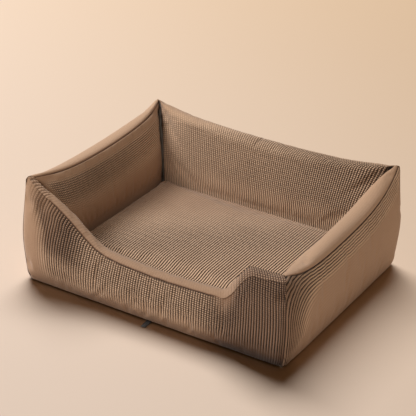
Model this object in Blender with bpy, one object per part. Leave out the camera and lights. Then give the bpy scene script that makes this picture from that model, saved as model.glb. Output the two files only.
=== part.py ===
"""Pet cushion bed: a rectangular bolster bed with a dipped entrance and a loose seat cushion.

Metres, +Z up. The bed stands on the plane z = 0 with its entrance towards -Y. The origin is on that
plane, under the middle of the whole object, the zip pull that sticks out in front included.
"""
import math

import bmesh
import bpy
from mathutils import Vector

# ---------------------------------------------------------------- driving dimensions
BED_WIDTH = 0.600
BED_DEPTH = 0.480
SIDE_WALL_THICKNESS = 0.061        # left and right bolster, measured at the seat
END_WALL_THICKNESS = 0.0655        # front and back bolster, measured at the seat
SEAT_EDGE_HEIGHT = 0.070           # where the bolsters' inner faces leave the seat cushion

TIP_HEIGHT = 0.228                 # the three pointed corners
SOFT_CORNER_HEIGHT = 0.192         # the front right corner, which has settled
BACK_WALL_HEIGHT = 0.209
LEFT_WALL_HEIGHT = 0.2165
RIGHT_WALL_HEIGHT = 0.193
RIGHT_WALL_FALL = 0.010            # how much the right bolster drops from its middle to its front
LEFT_SHOULDER_HEIGHT = 0.200
RIGHT_SHOULDER_HEIGHT = 0.180
ENTRANCE_HEIGHT = 0.109
ENTRANCE_LOWEST_X = 0.030
ENTRANCE_CURVE = 0.35              # rise of the sill, per metre squared from its lowest place
LEFT_RAMP = (-0.240, -0.100)       # x where the left ramp of the entrance starts and ends
RIGHT_RAMP = (0.150, 0.222)        # x where the right ramp starts and ends

CROWN_DROP = 0.020                 # height of a bolster's rounded top
TIP_CROWN_DROP = 0.010             # the same at a corner, where the top is pinched
CROWN_MIDDLE = 0.42                # place of the top's middle, as a share of the wall's thickness
TIP_CROWN_MIDDLE = 0.20
CROWN_HALF = 0.33                  # half width of the rounded top, as a share of the thickness
TIP_CROWN_HALF = 0.13
PINCH_LENGTH = 0.040               # how far from a corner the pinch still shows
HEM_TUCK = 0.0030                  # how far the outer panels tuck in at the hem
BELLY_AT = 0.4                     # share of an outer panel's height where it reaches out furthest

PANEL_THICKNESS = 0.0020           # ribbed cloth with its quilted backing
SEWN_GAP = 0.0004                  # between two panels that a seam joins
FILL_GAP = 0.0005                  # between a panel and the fill behind it
MITRE_GAP = 0.0005                 # from a corner's mitre plane to each panel
TOUCH_GAP = 0.0003                 # between pieces that lie on one another

BASE_THICKNESS = 0.0016
BASE_INSET = 0.0057                # from the bed's outline to the edge of the base cloth
SIDE_HEM_HEIGHT = BASE_THICKNESS + TOUCH_GAP
FRONT_HEM_HEIGHT = 0.0032          # the pull passes under the front hem
WADDING_TOP = 0.0125
FLOOR_THICKNESS = 0.0010
FLOOR_MARGIN = 0.0015              # how far the floor lining reaches under the inner panels
INNER_HEM_HEIGHT = WADDING_TOP + TOUCH_GAP + FLOOR_THICKNESS + TOUCH_GAP

CUSHION_CLEARANCE = 0.0005         # from the cushion to the inner panels
CUSHION_CORNER_RADIUS = 0.022
CUSHION_CLOTH = 0.0015
CUSHION_UNDERSIDE = 0.0010
CUSHION_EDGE_TOP = 0.0620
CUSHION_CROWN_TOP = 0.0775
CUSHION_FOAM_TOP = 0.0560
CUSHION_CORNER_STEPS = 4           # facets round each of the cushion's corners

ZIP_TAPE_THICKNESS = 0.0006
ZIP_TAPE_OUTER = 0.0125            # from the zip's middle to a tape's outer edge
ZIP_TAPE_HEIGHT = 0.0058           # underside of the tapes
ZIP_ROW_INNER = 0.00055            # from the zip's middle to a row of teeth
ZIP_ROW_WIDTH = 0.0020
ZIP_ROW_HEIGHT = 0.0020
ZIP_FRONT_INSET = 0.0085           # from the bed's outline to the front end of the rows
ZIP_BACK_INSET = 0.0400            # the same at the back, where the pull must swing clear of the hem
STOP_LENGTH = 0.0020
BASE_LIP_INNER = 0.0085            # from the zip's middle to a base half
BASE_LIP_OUTER = 0.0170
BASE_RAMP_OUTER = 0.0300

SLIDER_LENGTH = 0.0110
SLIDER_HALF_WIDTH = 0.0043
SLIDER_PLATE = 0.0008
SLIDER_POST_HALF = 0.00025
BRIDGE_HALF_LENGTH = 0.0034
BRIDGE_HALF_WIDTH = 0.0009
BRIDGE_WALL = 0.0008
BRIDGE_DEPTH = 0.0030

PULL_OVERHANG = 0.0176             # how far the pull reaches past the front of the bed
PULL_LENGTH = 0.0330               # from its pivot to its tip
PULL_WIDTH = 0.0106
PULL_THICKNESS = 0.0010
PULL_EYE_LENGTH = 0.0052
PULL_EYE_HALF_WIDTH = 0.0017
PULL_TAIL = 0.0005                 # from the pivot to the back of the pull's bar
PULL_CORNER_RADIUS = 0.0022
PULL_TIP_CLEARANCE = 0.0004        # the tip's height over the ground

# ---------------------------------------------------------------- what follows from them
HALF_WIDTH = BED_WIDTH / 2
HALF_DEPTH = BED_DEPTH / 2
BED_CENTRE_Y = PULL_OVERHANG / 2
OUTER_ROWS = 5                     # facets of a bolster's section: outer face, crown, inner face
CROWN_ROWS = 6
INNER_ROWS = 5
CROWN_START = OUTER_ROWS
LAST_ROW = OUTER_ROWS + CROWN_ROWS + INNER_ROWS

ZIP_ROW_BOTTOM = ZIP_TAPE_HEIGHT + ZIP_TAPE_THICKNESS / 2 - ZIP_ROW_HEIGHT / 2
ZIP_ROW_TOP = ZIP_ROW_BOTTOM + ZIP_ROW_HEIGHT
SLIDER_BOTTOM = ZIP_ROW_BOTTOM - TOUCH_GAP - SLIDER_PLATE
SLIDER_TOP = ZIP_ROW_TOP + TOUCH_GAP + SLIDER_PLATE
CHANNEL_ROOF = SLIDER_TOP + TOUCH_GAP
PIVOT_HEIGHT = SLIDER_BOTTOM - (BRIDGE_DEPTH - BRIDGE_WALL) / 2
PULL_TILT = math.asin((PIVOT_HEIGHT - PULL_THICKNESS / 2 - PULL_TIP_CLEARANCE) / PULL_LENGTH)
PIVOT_Y = -HALF_DEPTH - PULL_OVERHANG + PULL_LENGTH * math.cos(PULL_TILT) \
    + PULL_THICKNESS / 2 * math.sin(PULL_TILT)


def clear_scene():
    for old in list(bpy.data.objects):
        bpy.data.objects.remove(old, do_unlink=True)


def make_material(name, colour, roughness, metallic=0.0):
    material = bpy.data.materials.new(name)
    material.use_nodes = True
    shader = material.node_tree.nodes["Principled BSDF"]
    shader.inputs["Base Color"].default_value = (*colour, 1.0)
    shader.inputs["Roughness"].default_value = roughness
    shader.inputs["Metallic"].default_value = metallic
    return material


def empty(name, location, parent=None):
    marker = bpy.data.objects.new(name, None)
    bpy.context.scene.collection.objects.link(marker)
    marker.location = location
    marker.parent = parent
    return marker


def finish_object(name, bm, material, parent, location=(0, 0, 0), smooth=True):
    """Turn a finished bmesh into a named object with its faces pointing out."""
    bmesh.ops.recalc_face_normals(bm, faces=bm.faces)
    mesh = bpy.data.meshes.new(name)
    bm.to_mesh(mesh)
    bm.free()
    mesh.materials.append(material)
    if smooth:
        mesh.shade_smooth()
        mesh.set_sharp_from_angle(angle=math.radians(40))
    body = bpy.data.objects.new(name, mesh)
    bpy.context.scene.collection.objects.link(body)
    body.location = location
    body.parent = parent
    return body


def mapped_grid(bm, columns, rows, place):
    """A grid of faces whose vertex (column, row) is moved to place(column, row)."""
    made = bmesh.ops.create_grid(bm, x_segments=columns, y_segments=rows, size=1.0)
    for vert in made["verts"]:
        column = round((vert.co.x + 1) / 2 * columns)
        row = round((vert.co.y + 1) / 2 * rows)
        vert.co = place(column, row)


def extruded(name, outline, start_y, end_y, material, parent, location=(0, 0, 0)):
    """A closed outline of (x, z) points, extruded along Y."""
    bm = bmesh.new()
    corners = [bm.verts.new((x, start_y, z)) for x, z in outline]
    face = bm.faces.new(corners)
    pushed = bmesh.ops.extrude_face_region(bm, geom=[face])
    moved = [item for item in pushed["geom"] if isinstance(item, bmesh.types.BMVert)]
    bmesh.ops.translate(bm, verts=moved, vec=(0, end_y - start_y, 0))
    return finish_object(name, bm, material, parent, location, smooth=False)


# ---------------------------------------------------------------- the shape of the bolsters
def smooth_step(start, end, value):
    share = min(max((value - start) / (end - start), 0.0), 1.0)
    return share * share * (3 - 2 * share)


def sagging_height(share, middle, end, power):
    return middle + (end - middle) * abs(share) ** power


def front_height(x):
    """Two shoulders with the low entrance between them."""
    if x < 0:
        shoulder = sagging_height(x / HALF_WIDTH, LEFT_SHOULDER_HEIGHT, TIP_HEIGHT, 6)
    else:
        shoulder = sagging_height(x / HALF_WIDTH, RIGHT_SHOULDER_HEIGHT, SOFT_CORNER_HEIGHT, 4)
    sill = ENTRANCE_HEIGHT + ENTRANCE_CURVE * (x - ENTRANCE_LOWEST_X) ** 2
    opening = smooth_step(*LEFT_RAMP, x) - smooth_step(*RIGHT_RAMP, x)
    return shoulder + (sill - shoulder) * opening


def right_height(y):
    share = y / HALF_DEPTH
    line = RIGHT_WALL_HEIGHT + RIGHT_WALL_FALL * share
    end = TIP_HEIGHT - RIGHT_WALL_HEIGHT - RIGHT_WALL_FALL
    if y < 0:
        end = SOFT_CORNER_HEIGHT - RIGHT_WALL_HEIGHT + RIGHT_WALL_FALL
    return line + end * abs(share) ** 4


def crown_height(side, along):
    if side == "front":
        return front_height(along)
    if side == "right":
        return right_height(along)
    if side == "back":
        return sagging_height(along / HALF_WIDTH, BACK_WALL_HEIGHT, TIP_HEIGHT, 2.5)
    return sagging_height(along / HALF_DEPTH, LEFT_WALL_HEIGHT, TIP_HEIGHT, 2.5)


def wall_sizes(side):
    """Half length, thickness, the neighbours' thickness and the outer hem's height."""
    if side == "front":
        return HALF_WIDTH, END_WALL_THICKNESS, SIDE_WALL_THICKNESS, FRONT_HEM_HEIGHT
    if side == "back":
        return HALF_WIDTH, END_WALL_THICKNESS, SIDE_WALL_THICKNESS, SIDE_HEM_HEIGHT
    return HALF_DEPTH, SIDE_WALL_THICKNESS, END_WALL_THICKNESS, SIDE_HEM_HEIGHT


def wall_section(side, share):
    """The bolster's outer skin at one station, from the outer hem over the crown to the inner hem.

    share runs from -1 to 1 along the wall; a point is (distance inward, height).
    """
    half_length, thickness, _, hem = wall_sizes(side)
    from_corner = half_length * (1 - abs(share))
    open_share = 1 - math.exp(-from_corner / PINCH_LENGTH)
    middle = thickness * (TIP_CROWN_MIDDLE + (CROWN_MIDDLE - TIP_CROWN_MIDDLE) * open_share)
    half = thickness * (TIP_CROWN_HALF + (CROWN_HALF - TIP_CROWN_HALF) * open_share)
    drop = TIP_CROWN_DROP + (CROWN_DROP - TIP_CROWN_DROP) * open_share
    knee = crown_height(side, half_length * share) - drop
    section = []
    for row in range(OUTER_ROWS):
        rise = row / OUTER_ROWS
        if rise < BELLY_AT:
            inward = HEM_TUCK * (1 - rise / BELLY_AT) ** 2
        else:
            inward = (middle - half) * ((rise - BELLY_AT) / (1 - BELLY_AT)) ** 2
        section.append((inward, hem + (knee - hem) * rise))
    for row in range(CROWN_ROWS):
        turn = math.pi * (1 - row / CROWN_ROWS)
        section.append((middle + half * math.cos(turn), knee + drop * math.sin(turn)))
    for row in range(INNER_ROWS):
        fall = row / (INNER_ROWS - 1)
        inward = middle + half + (thickness - middle - half) * math.sin(fall * math.pi / 2)
        section.append((inward, knee + (SEAT_EDGE_HEIGHT - knee) * fall))
    section.append((thickness, INNER_HEM_HEIGHT))
    return section


def inset_section(section, depth):
    """The same section moved inwards by depth, each facet parallel to its own."""
    points = [Vector(point) for point in section]
    normals = []
    for first, second in zip(points, points[1:]):
        run = (second - first).normalized()
        normals.append(Vector((run.y, -run.x)))
    moved = []
    for index, point in enumerate(points):
        before = normals[max(index - 1, 0)]
        after = normals[min(index, len(normals) - 1)]
        moved.append(point + (before + after) * (depth / (1 + before.dot(after))))
    return moved


def wall_place(side, share, inward, height):
    """A point of a wall in the bed's own frame; the walls meet on a mitre at each corner."""
    half_length, thickness, neighbour, _ = wall_sizes(side)
    along = share * (half_length - inward * neighbour / thickness - MITRE_GAP)
    if side == "front":
        return along, -HALF_DEPTH + inward, height
    if side == "back":
        return -along, HALF_DEPTH - inward, height
    if side == "right":
        return HALF_WIDTH - inward, along, height
    return -HALF_WIDTH + inward, -along, height


def wall_stations(side):
    return {"front": 28, "back": 12, "left": 10, "right": 12}[side]


def along_share(side, column):
    return 2 * column / wall_stations(side) - 1


def wall_panel(name, side, first_row, last_row, material, parent):
    """One sewn panel: the part of the wall's skin between two rows of its section."""
    sections = []
    for column in range(wall_stations(side) + 1):
        share = along_share(side, column)
        faces = [inset_section(wall_section(side, share), depth) for depth in (0, PANEL_THICKNESS)]
        ends = []
        for face in faces:
            rows = list(face[first_row:last_row + 1])
            trim = SEWN_GAP / 2
            start = rows[0] + (rows[1] - rows[0]).normalized() * trim
            end = rows[-1] + (rows[-2] - rows[-1]).normalized() * trim
            ends.append([start] + rows[1:-1] + [end])
        sections.append(ends)
    bm = bmesh.new()
    for layer in (0, 1):
        def place(column, row, layer=layer):
            inward, height = sections[column][layer][row]
            return wall_place(side, along_share(side, column), inward, height)
        mapped_grid(bm, wall_stations(side), last_row - first_row, place)
    rims = [edge for edge in bm.edges if edge.is_boundary]
    bmesh.ops.bridge_loops(bm, edges=rims)
    return finish_object(name, bm, material, parent)


def wall_fill(name, side, floor_height, material, parent):
    """The fill of one bolster: a closed loft that the panels wrap with a small gap."""
    sections = []
    for column in range(wall_stations(side) + 1):
        section = inset_section(wall_section(side, along_share(side, column)), PANEL_THICKNESS + FILL_GAP)
        section[0].y = floor_height
        section[-1].y = floor_height
        sections.append(section + [section[0]])
    bm = bmesh.new()

    def place(column, row):
        inward, height = sections[column][row]
        return wall_place(side, along_share(side, column), inward, height)
    mapped_grid(bm, wall_stations(side), LAST_ROW + 1, place)
    bmesh.ops.remove_doubles(bm, verts=bm.verts, dist=0.00001)
    bmesh.ops.holes_fill(bm, edges=[edge for edge in bm.edges if edge.is_boundary])
    return finish_object(name, bm, material, parent)


# ---------------------------------------------------------------- flat and crowned layers
def rounded_outline(half_x, half_y, radius, corner_steps):
    """A rectangle with round corners, as (x, y) points in order."""
    points = []
    for quarter in range(4):
        for step in range(corner_steps + 1):
            turn = math.pi / 2 * (quarter + step / corner_steps)
            side_x = 1 if quarter in (0, 3) else -1
            side_y = 1 if quarter in (0, 1) else -1
            centre = Vector((side_x * (half_x - radius), side_y * (half_y - radius)))
            points.append(centre + radius * Vector((math.cos(turn), math.sin(turn))))
    return points


def layered_pad(name, outline, section, material, parent, location=(0, 0, 0)):
    """A closed pad: section holds (share of the outline, height), top middle to bottom middle."""
    bm = bmesh.new()
    ring = outline + [outline[0]]

    def place(column, row):
        share, height = section[row]
        return ring[column].x * share, ring[column].y * share, height
    mapped_grid(bm, len(outline), len(section) - 1, place)
    bmesh.ops.remove_doubles(bm, verts=bm.verts, dist=0.00001)
    return finish_object(name, bm, material, parent, location)


def ring_wall(name, outer, inner, bottom, top, material, parent, location=(0, 0, 0)):
    """An upright band of cloth that closes on itself."""
    bm = bmesh.new()
    loops = [(outer, bottom), (outer, top), (inner, top), (inner, bottom), (outer, bottom)]

    def place(column, row):
        outline, height = loops[row]
        point = outline[column % len(outline)]
        return point.x, point.y, height
    mapped_grid(bm, len(outer), len(loops) - 1, place)
    bmesh.ops.remove_doubles(bm, verts=bm.verts, dist=0.00001)
    return finish_object(name, bm, material, parent, location)


def crown_curve(rim_height, crown_height_top, inner_share=0.0, steps=5):
    """Heights of a crowned top: steep near its rim and nearly flat in its middle."""
    points = []
    for step in range(steps + 1):
        share = inner_share + (1 - inner_share) * (step / steps) ** 0.6
        lift = (1 - share ** 4) ** 0.5
        points.append((share, rim_height + (crown_height_top - rim_height) * lift))
    return points


# ---------------------------------------------------------------- the bed's own pieces
def build_bolsters(bed, cloth, band_cloth, fill):
    """Outer and inner panels, the fill between them and the binding over the entrance."""
    seam_row = {"front": CROWN_START + 1, "back": CROWN_START, "left": CROWN_START + 2, "right": CROWN_START}
    band_end = CROWN_START + 4
    for side in ("front", "back", "left", "right"):
        seam = seam_row[side]
        wall_panel(f"{side}_outer_panel", side, 0, seam, cloth, bed)
        inner_start = band_end if side == "front" else seam
        wall_panel(f"{side}_inner_panel", side, inner_start, LAST_ROW, cloth, bed)
        fill_floor = CHANNEL_ROOF if side in ("front", "back") else SIDE_HEM_HEIGHT
        wall_fill(f"{side}_bolster_fill", side, fill_floor, fill, bed)
    wall_panel("front_top_band", "front", seam_row["front"], band_end, band_cloth, bed)


def build_floor(bed, base_cloth, wadding_white, lining):
    """The two halves of the base, the wadding over them and the lining under the cushion."""
    lip_bottom = ZIP_TAPE_HEIGHT - TOUCH_GAP - BASE_THICKNESS
    lip_top = ZIP_TAPE_HEIGHT - TOUCH_GAP
    edge_x = HALF_WIDTH - BASE_INSET
    edge_y = HALF_DEPTH - BASE_INSET
    half = [
        (BASE_LIP_INNER, lip_bottom), (BASE_LIP_OUTER, lip_bottom), (BASE_RAMP_OUTER, 0.0),
        (edge_x, 0.0), (edge_x, BASE_THICKNESS), (BASE_RAMP_OUTER, BASE_THICKNESS),
        (BASE_LIP_OUTER, lip_top), (BASE_LIP_INNER, lip_top),
    ]
    mirrored = [(-x, z) for x, z in half]
    extruded("base_half_right", half, -edge_y, edge_y, base_cloth, bed)
    extruded("base_half_left", mirrored, -edge_y, edge_y, base_cloth, bed)

    inner_x = HALF_WIDTH - SIDE_WALL_THICKNESS
    inner_y = HALF_DEPTH - END_WALL_THICKNESS
    wadding_x = inner_x + TOUCH_GAP
    ramp_foot = BASE_RAMP_OUTER + BASE_THICKNESS
    wadding = [
        (-wadding_x, SIDE_HEM_HEIGHT), (-ramp_foot, SIDE_HEM_HEIGHT), (-ZIP_TAPE_OUTER, CHANNEL_ROOF),
        (ZIP_TAPE_OUTER, CHANNEL_ROOF), (ramp_foot, SIDE_HEM_HEIGHT), (wadding_x, SIDE_HEM_HEIGHT),
        (wadding_x, WADDING_TOP), (-wadding_x, WADDING_TOP),
    ]
    extruded("base_wadding", wadding, -inner_y, inner_y, wadding_white, bed)
    floor_x = inner_x + FLOOR_MARGIN
    floor_y = inner_y + FLOOR_MARGIN
    floor_bottom = WADDING_TOP + TOUCH_GAP
    floor_top = floor_bottom + FLOOR_THICKNESS
    floor = [(-floor_x, floor_bottom), (floor_x, floor_bottom), (floor_x, floor_top), (-floor_x, floor_top)]
    extruded("floor_lining", floor, -floor_y, floor_y, lining, bed)


def build_zip(bed, tape_cloth, tooth_nylon, stop_metal):
    """Tapes, rows of teeth and end stops of the zip that joins the two halves of the base."""
    front_end = -HALF_DEPTH + ZIP_FRONT_INSET
    back_end = HALF_DEPTH - ZIP_BACK_INSET
    tape_end = -front_end + TOUCH_GAP + STOP_LENGTH
    row_outer = ZIP_ROW_INNER + ZIP_ROW_WIDTH
    tape_inner = row_outer + TOUCH_GAP
    tape_top = ZIP_TAPE_HEIGHT + ZIP_TAPE_THICKNESS
    for side, sign in (("left", -1), ("right", 1)):
        row = [(sign * ZIP_ROW_INNER, ZIP_ROW_BOTTOM), (sign * row_outer, ZIP_ROW_BOTTOM),
               (sign * row_outer, ZIP_ROW_TOP), (sign * ZIP_ROW_INNER, ZIP_ROW_TOP)]
        extruded(f"base_zip_teeth_{side}", row, front_end, back_end, tooth_nylon, bed)
        tape = [(sign * tape_inner, ZIP_TAPE_HEIGHT), (sign * ZIP_TAPE_OUTER, ZIP_TAPE_HEIGHT),
                (sign * ZIP_TAPE_OUTER, tape_top), (sign * tape_inner, tape_top)]
        extruded(f"base_zip_tape_{side}", tape, -tape_end, tape_end, tape_cloth, bed)
    stop = [(-row_outer, ZIP_ROW_BOTTOM), (row_outer, ZIP_ROW_BOTTOM),
            (row_outer, ZIP_ROW_TOP), (-row_outer, ZIP_ROW_TOP)]
    for name, start in (("base_zip_stop_front", front_end - TOUCH_GAP - STOP_LENGTH),
                        ("base_zip_stop_back", back_end + TOUCH_GAP)):
        extruded(name, stop, start, start + STOP_LENGTH, stop_metal, bed)


def build_slider(bed, metal):
    """Two plates and the post between them, with the bridge that carries the pull below."""
    slider_at = empty("base_zip_slider_axis", (0, PIVOT_Y, 0), bed)
    low = SLIDER_BOTTOM + SLIDER_PLATE
    high = SLIDER_TOP - SLIDER_PLATE
    right_side = [
        (SLIDER_HALF_WIDTH, SLIDER_BOTTOM), (SLIDER_HALF_WIDTH, low), (SLIDER_POST_HALF, low),
        (SLIDER_POST_HALF, high), (SLIDER_HALF_WIDTH, high), (SLIDER_HALF_WIDTH, SLIDER_TOP),
    ]
    left_side = [(-x, z) for x, z in reversed(right_side)]
    slider = extruded("base_zip_slider", right_side + left_side, -SLIDER_LENGTH / 2, SLIDER_LENGTH / 2,
                      metal, slider_at)

    bm = bmesh.new()
    bmesh.ops.create_cube(bm, size=1.0)
    bridge_height = BRIDGE_DEPTH + SLIDER_PLATE / 2
    bridge_middle = SLIDER_BOTTOM - BRIDGE_DEPTH + bridge_height / 2
    bmesh.ops.scale(bm, verts=bm.verts, vec=(2 * BRIDGE_HALF_WIDTH, 2 * BRIDGE_HALF_LENGTH, bridge_height))
    bmesh.ops.translate(bm, verts=bm.verts, vec=(0, 0, bridge_middle))
    bridge = finish_object("bridge_block", bm, metal, slider_at, smooth=False)
    hole_half = BRIDGE_HALF_LENGTH - BRIDGE_WALL
    hole_top = SLIDER_BOTTOM
    hole_bottom = SLIDER_BOTTOM - BRIDGE_DEPTH + BRIDGE_WALL
    bm = bmesh.new()
    bmesh.ops.create_cube(bm, size=1.0)
    bmesh.ops.scale(bm, verts=bm.verts, vec=(4 * BRIDGE_HALF_WIDTH, 2 * hole_half, hole_top - hole_bottom))
    bmesh.ops.translate(bm, verts=bm.verts, vec=(0, 0, (hole_top + hole_bottom) / 2))
    hole = finish_object("bridge_hole", bm, metal, slider_at, smooth=False)
    for helper, operation in ((bridge, "UNION"), (hole, "DIFFERENCE")):
        helper.hide_render = True
        helper.display_type = "WIRE"
        cut = slider.modifiers.new(helper.name, "BOOLEAN")
        cut.operation = operation
        cut.object = helper
    return slider_at


def build_pull(slider_at, metal):
    """A flat tab with an eye that hangs in the slider's bridge and rests with its tip on the ground."""
    half = PULL_WIDTH / 2
    bm = bmesh.new()
    bmesh.ops.create_cube(bm, size=1.0)
    length = PULL_LENGTH + PULL_TAIL
    bmesh.ops.scale(bm, verts=bm.verts, vec=(2 * half, length, PULL_THICKNESS))
    bmesh.ops.translate(bm, verts=bm.verts, vec=(0, PULL_TAIL - length / 2, 0))
    corners = [edge for edge in bm.edges
               if abs(edge.verts[0].co.z - edge.verts[1].co.z) > PULL_THICKNESS / 2]
    bmesh.ops.bevel(bm, geom=corners, offset=PULL_CORNER_RADIUS, offset_type="OFFSET", affect="EDGES",
                    segments=3, profile=0.5, material=-1)
    pull = finish_object("base_zip_pull", bm, metal, slider_at, (0, 0, PIVOT_HEIGHT), smooth=False)
    bm = bmesh.new()
    bmesh.ops.create_cube(bm, size=1.0)
    bmesh.ops.scale(bm, verts=bm.verts, vec=(2 * PULL_EYE_HALF_WIDTH, PULL_EYE_LENGTH, 4 * PULL_THICKNESS))
    bmesh.ops.translate(bm, verts=bm.verts, vec=(0, -PULL_TAIL - PULL_EYE_LENGTH / 2, 0))
    eye = finish_object("pull_eye", bm, metal, pull, smooth=False)
    eye.hide_render = True
    eye.display_type = "WIRE"
    cut = pull.modifiers.new("eye", "BOOLEAN")
    cut.operation = "DIFFERENCE"
    cut.object = eye
    pull.rotation_euler = (PULL_TILT, 0, 0)


# ---------------------------------------------------------------- the seat cushion
def build_cushion(bed, cloth, underside_cloth, wadding_white, foam):
    """A loose boxed cushion: underside, border, crowned top, foam and the wadding over it."""
    lift = empty("cushion_lift_axis", (0, 0, INNER_HEM_HEIGHT), bed)
    half_x = HALF_WIDTH - SIDE_WALL_THICKNESS - CUSHION_CLEARANCE
    half_y = HALF_DEPTH - END_WALL_THICKNESS - CUSHION_CLEARANCE
    inset = CUSHION_CLOTH + TOUCH_GAP
    outer = rounded_outline(half_x, half_y, CUSHION_CORNER_RADIUS, CUSHION_CORNER_STEPS)
    inner = rounded_outline(half_x - CUSHION_CLOTH, half_y - CUSHION_CLOTH,
                            CUSHION_CORNER_RADIUS - CUSHION_CLOTH, CUSHION_CORNER_STEPS)
    filling = rounded_outline(half_x - inset, half_y - inset,
                              CUSHION_CORNER_RADIUS - inset, CUSHION_CORNER_STEPS)

    bottom = 0.0
    underside_top = bottom + CUSHION_UNDERSIDE
    border_bottom = underside_top + TOUCH_GAP
    border_top = CUSHION_EDGE_TOP - INNER_HEM_HEIGHT
    layered_pad("cushion_underside", outer,
                [(0, underside_top), (1, underside_top), (1, bottom), (0, bottom)],
                underside_cloth, lift)
    ring_wall("cushion_border", outer, inner, border_bottom, border_top, cloth, lift)

    rim = border_top + TOUCH_GAP
    crown = CUSHION_CROWN_TOP - INNER_HEM_HEIGHT
    outside = crown_curve(rim + CUSHION_CLOTH, crown)
    inside = [(share, height - CUSHION_CLOTH) for share, height in reversed(outside)]
    layered_pad("cushion_top_panel", outer, outside + inside, cloth, lift)

    foam_top = CUSHION_FOAM_TOP - INNER_HEM_HEIGHT
    layered_pad("cushion_foam", filling,
                [(0, foam_top), (1, foam_top), (1, border_bottom), (0, border_bottom)], foam, lift)
    wadding_bottom = foam_top + TOUCH_GAP
    under_panel = crown_curve(rim - TOUCH_GAP, crown - CUSHION_CLOTH - TOUCH_GAP)
    layered_pad("cushion_wadding", filling, under_panel + [(1, wadding_bottom), (0, wadding_bottom)],
                wadding_white, lift)


def build():
    clear_scene()
    cloth = make_material("ribbed_taupe_cloth", (0.300, 0.208, 0.135), 0.90)
    band_cloth = make_material("smooth_taupe_binding", (0.390, 0.268, 0.178), 0.85)
    base_cloth = make_material("black_grip_cloth", (0.018, 0.017, 0.016), 0.75)
    lining = make_material("brown_lining", (0.190, 0.130, 0.085), 0.85)
    wadding_white = make_material("white_wadding", (0.86, 0.85, 0.82), 0.95)
    foam = make_material("cream_foam", (0.84, 0.79, 0.62), 0.90)
    black_nylon = make_material("black_nylon", (0.020, 0.020, 0.021), 0.50)
    black_metal = make_material("black_enamel", (0.020, 0.020, 0.021), 0.35, 0.9)

    bed = empty("bed_frame", (0, BED_CENTRE_Y, 0))
    build_bolsters(bed, cloth, band_cloth, wadding_white)
    build_floor(bed, base_cloth, wadding_white, lining)
    build_zip(bed, black_nylon, black_nylon, black_metal)
    slider_at = build_slider(bed, black_metal)
    build_pull(slider_at, black_metal)
    build_cushion(bed, cloth, base_cloth, wadding_white, foam)


build()
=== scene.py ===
# %% [markdown]
# A pet cushion bed. Four stuffed bolsters make a low nest with a dip at the front to walk in by, and a loose
# cushion fills the well. The fixed model gives the size and place of every sewn panel. This lesson keeps those
# and makes the cloth: ribs, beads, seams, stuffing and the zip under the bed.
# %% The fixed model
import math
import bmesh
import bpy
import numpy as np
from mathutils import Matrix, Vector


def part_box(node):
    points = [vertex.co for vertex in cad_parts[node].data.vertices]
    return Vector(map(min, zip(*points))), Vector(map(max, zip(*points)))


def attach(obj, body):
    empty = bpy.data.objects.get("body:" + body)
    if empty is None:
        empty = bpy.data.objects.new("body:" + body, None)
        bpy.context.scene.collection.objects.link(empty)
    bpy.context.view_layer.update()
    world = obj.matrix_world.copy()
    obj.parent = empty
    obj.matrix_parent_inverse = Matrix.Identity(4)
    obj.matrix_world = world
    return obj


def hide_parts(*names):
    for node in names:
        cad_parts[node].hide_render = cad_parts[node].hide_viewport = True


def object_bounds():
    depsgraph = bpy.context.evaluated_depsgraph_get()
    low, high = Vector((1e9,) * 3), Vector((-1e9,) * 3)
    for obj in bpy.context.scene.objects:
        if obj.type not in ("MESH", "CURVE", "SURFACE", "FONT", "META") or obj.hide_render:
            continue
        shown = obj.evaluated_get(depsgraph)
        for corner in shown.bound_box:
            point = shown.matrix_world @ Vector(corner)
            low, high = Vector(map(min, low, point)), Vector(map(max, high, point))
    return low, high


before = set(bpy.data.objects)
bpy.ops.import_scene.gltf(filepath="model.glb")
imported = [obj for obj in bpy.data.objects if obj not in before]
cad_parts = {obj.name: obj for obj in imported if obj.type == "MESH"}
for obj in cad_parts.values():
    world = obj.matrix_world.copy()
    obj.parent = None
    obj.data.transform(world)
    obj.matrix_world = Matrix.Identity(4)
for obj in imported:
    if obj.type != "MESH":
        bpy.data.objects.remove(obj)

cad_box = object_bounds()
scene = bpy.context.scene
print("panels and parts in the fixed model:", len(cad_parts))

# %% [markdown]
# Every size here is read off the fixed model's boxes, so a change there carries over. The bed's own middle lies
# a little behind the origin, because the zip's pull reaches out in front and is part of the whole length.
# %% Sizes of the bed
front_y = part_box("front_outer_panel")[0].y
back_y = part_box("back_outer_panel")[1].y
HALF_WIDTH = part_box("right_outer_panel")[1].x
HALF_DEPTH = (back_y - front_y) / 2
MIDDLE_Y = (back_y + front_y) / 2
END_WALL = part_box("front_inner_panel")[1].y - front_y
SIDE_WALL = HALF_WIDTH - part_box("right_inner_panel")[0].x
TIP_HEIGHT = cad_box[1].z + 0.004
INNER_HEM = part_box("front_inner_panel")[0].z
CUSHION_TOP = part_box("cushion_top_panel")[1].z
print(f"bed {2 * HALF_WIDTH:.3f} by {2 * HALF_DEPTH:.3f} m, walls {END_WALL:.4f} and {SIDE_WALL:.4f} m")

# %% [markdown]
# The camera looks down at the front left of the entrance from about chest height, through a long lens, and leans
# by a degree and a half. It is put in place as one matrix: right, up and back are its own three axes.
# %% Camera
def placed(name, data):
    """A new object in the scene that shows this data."""
    thing = bpy.data.objects.new(name, data)
    scene.collection.objects.link(thing)
    return thing


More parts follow.
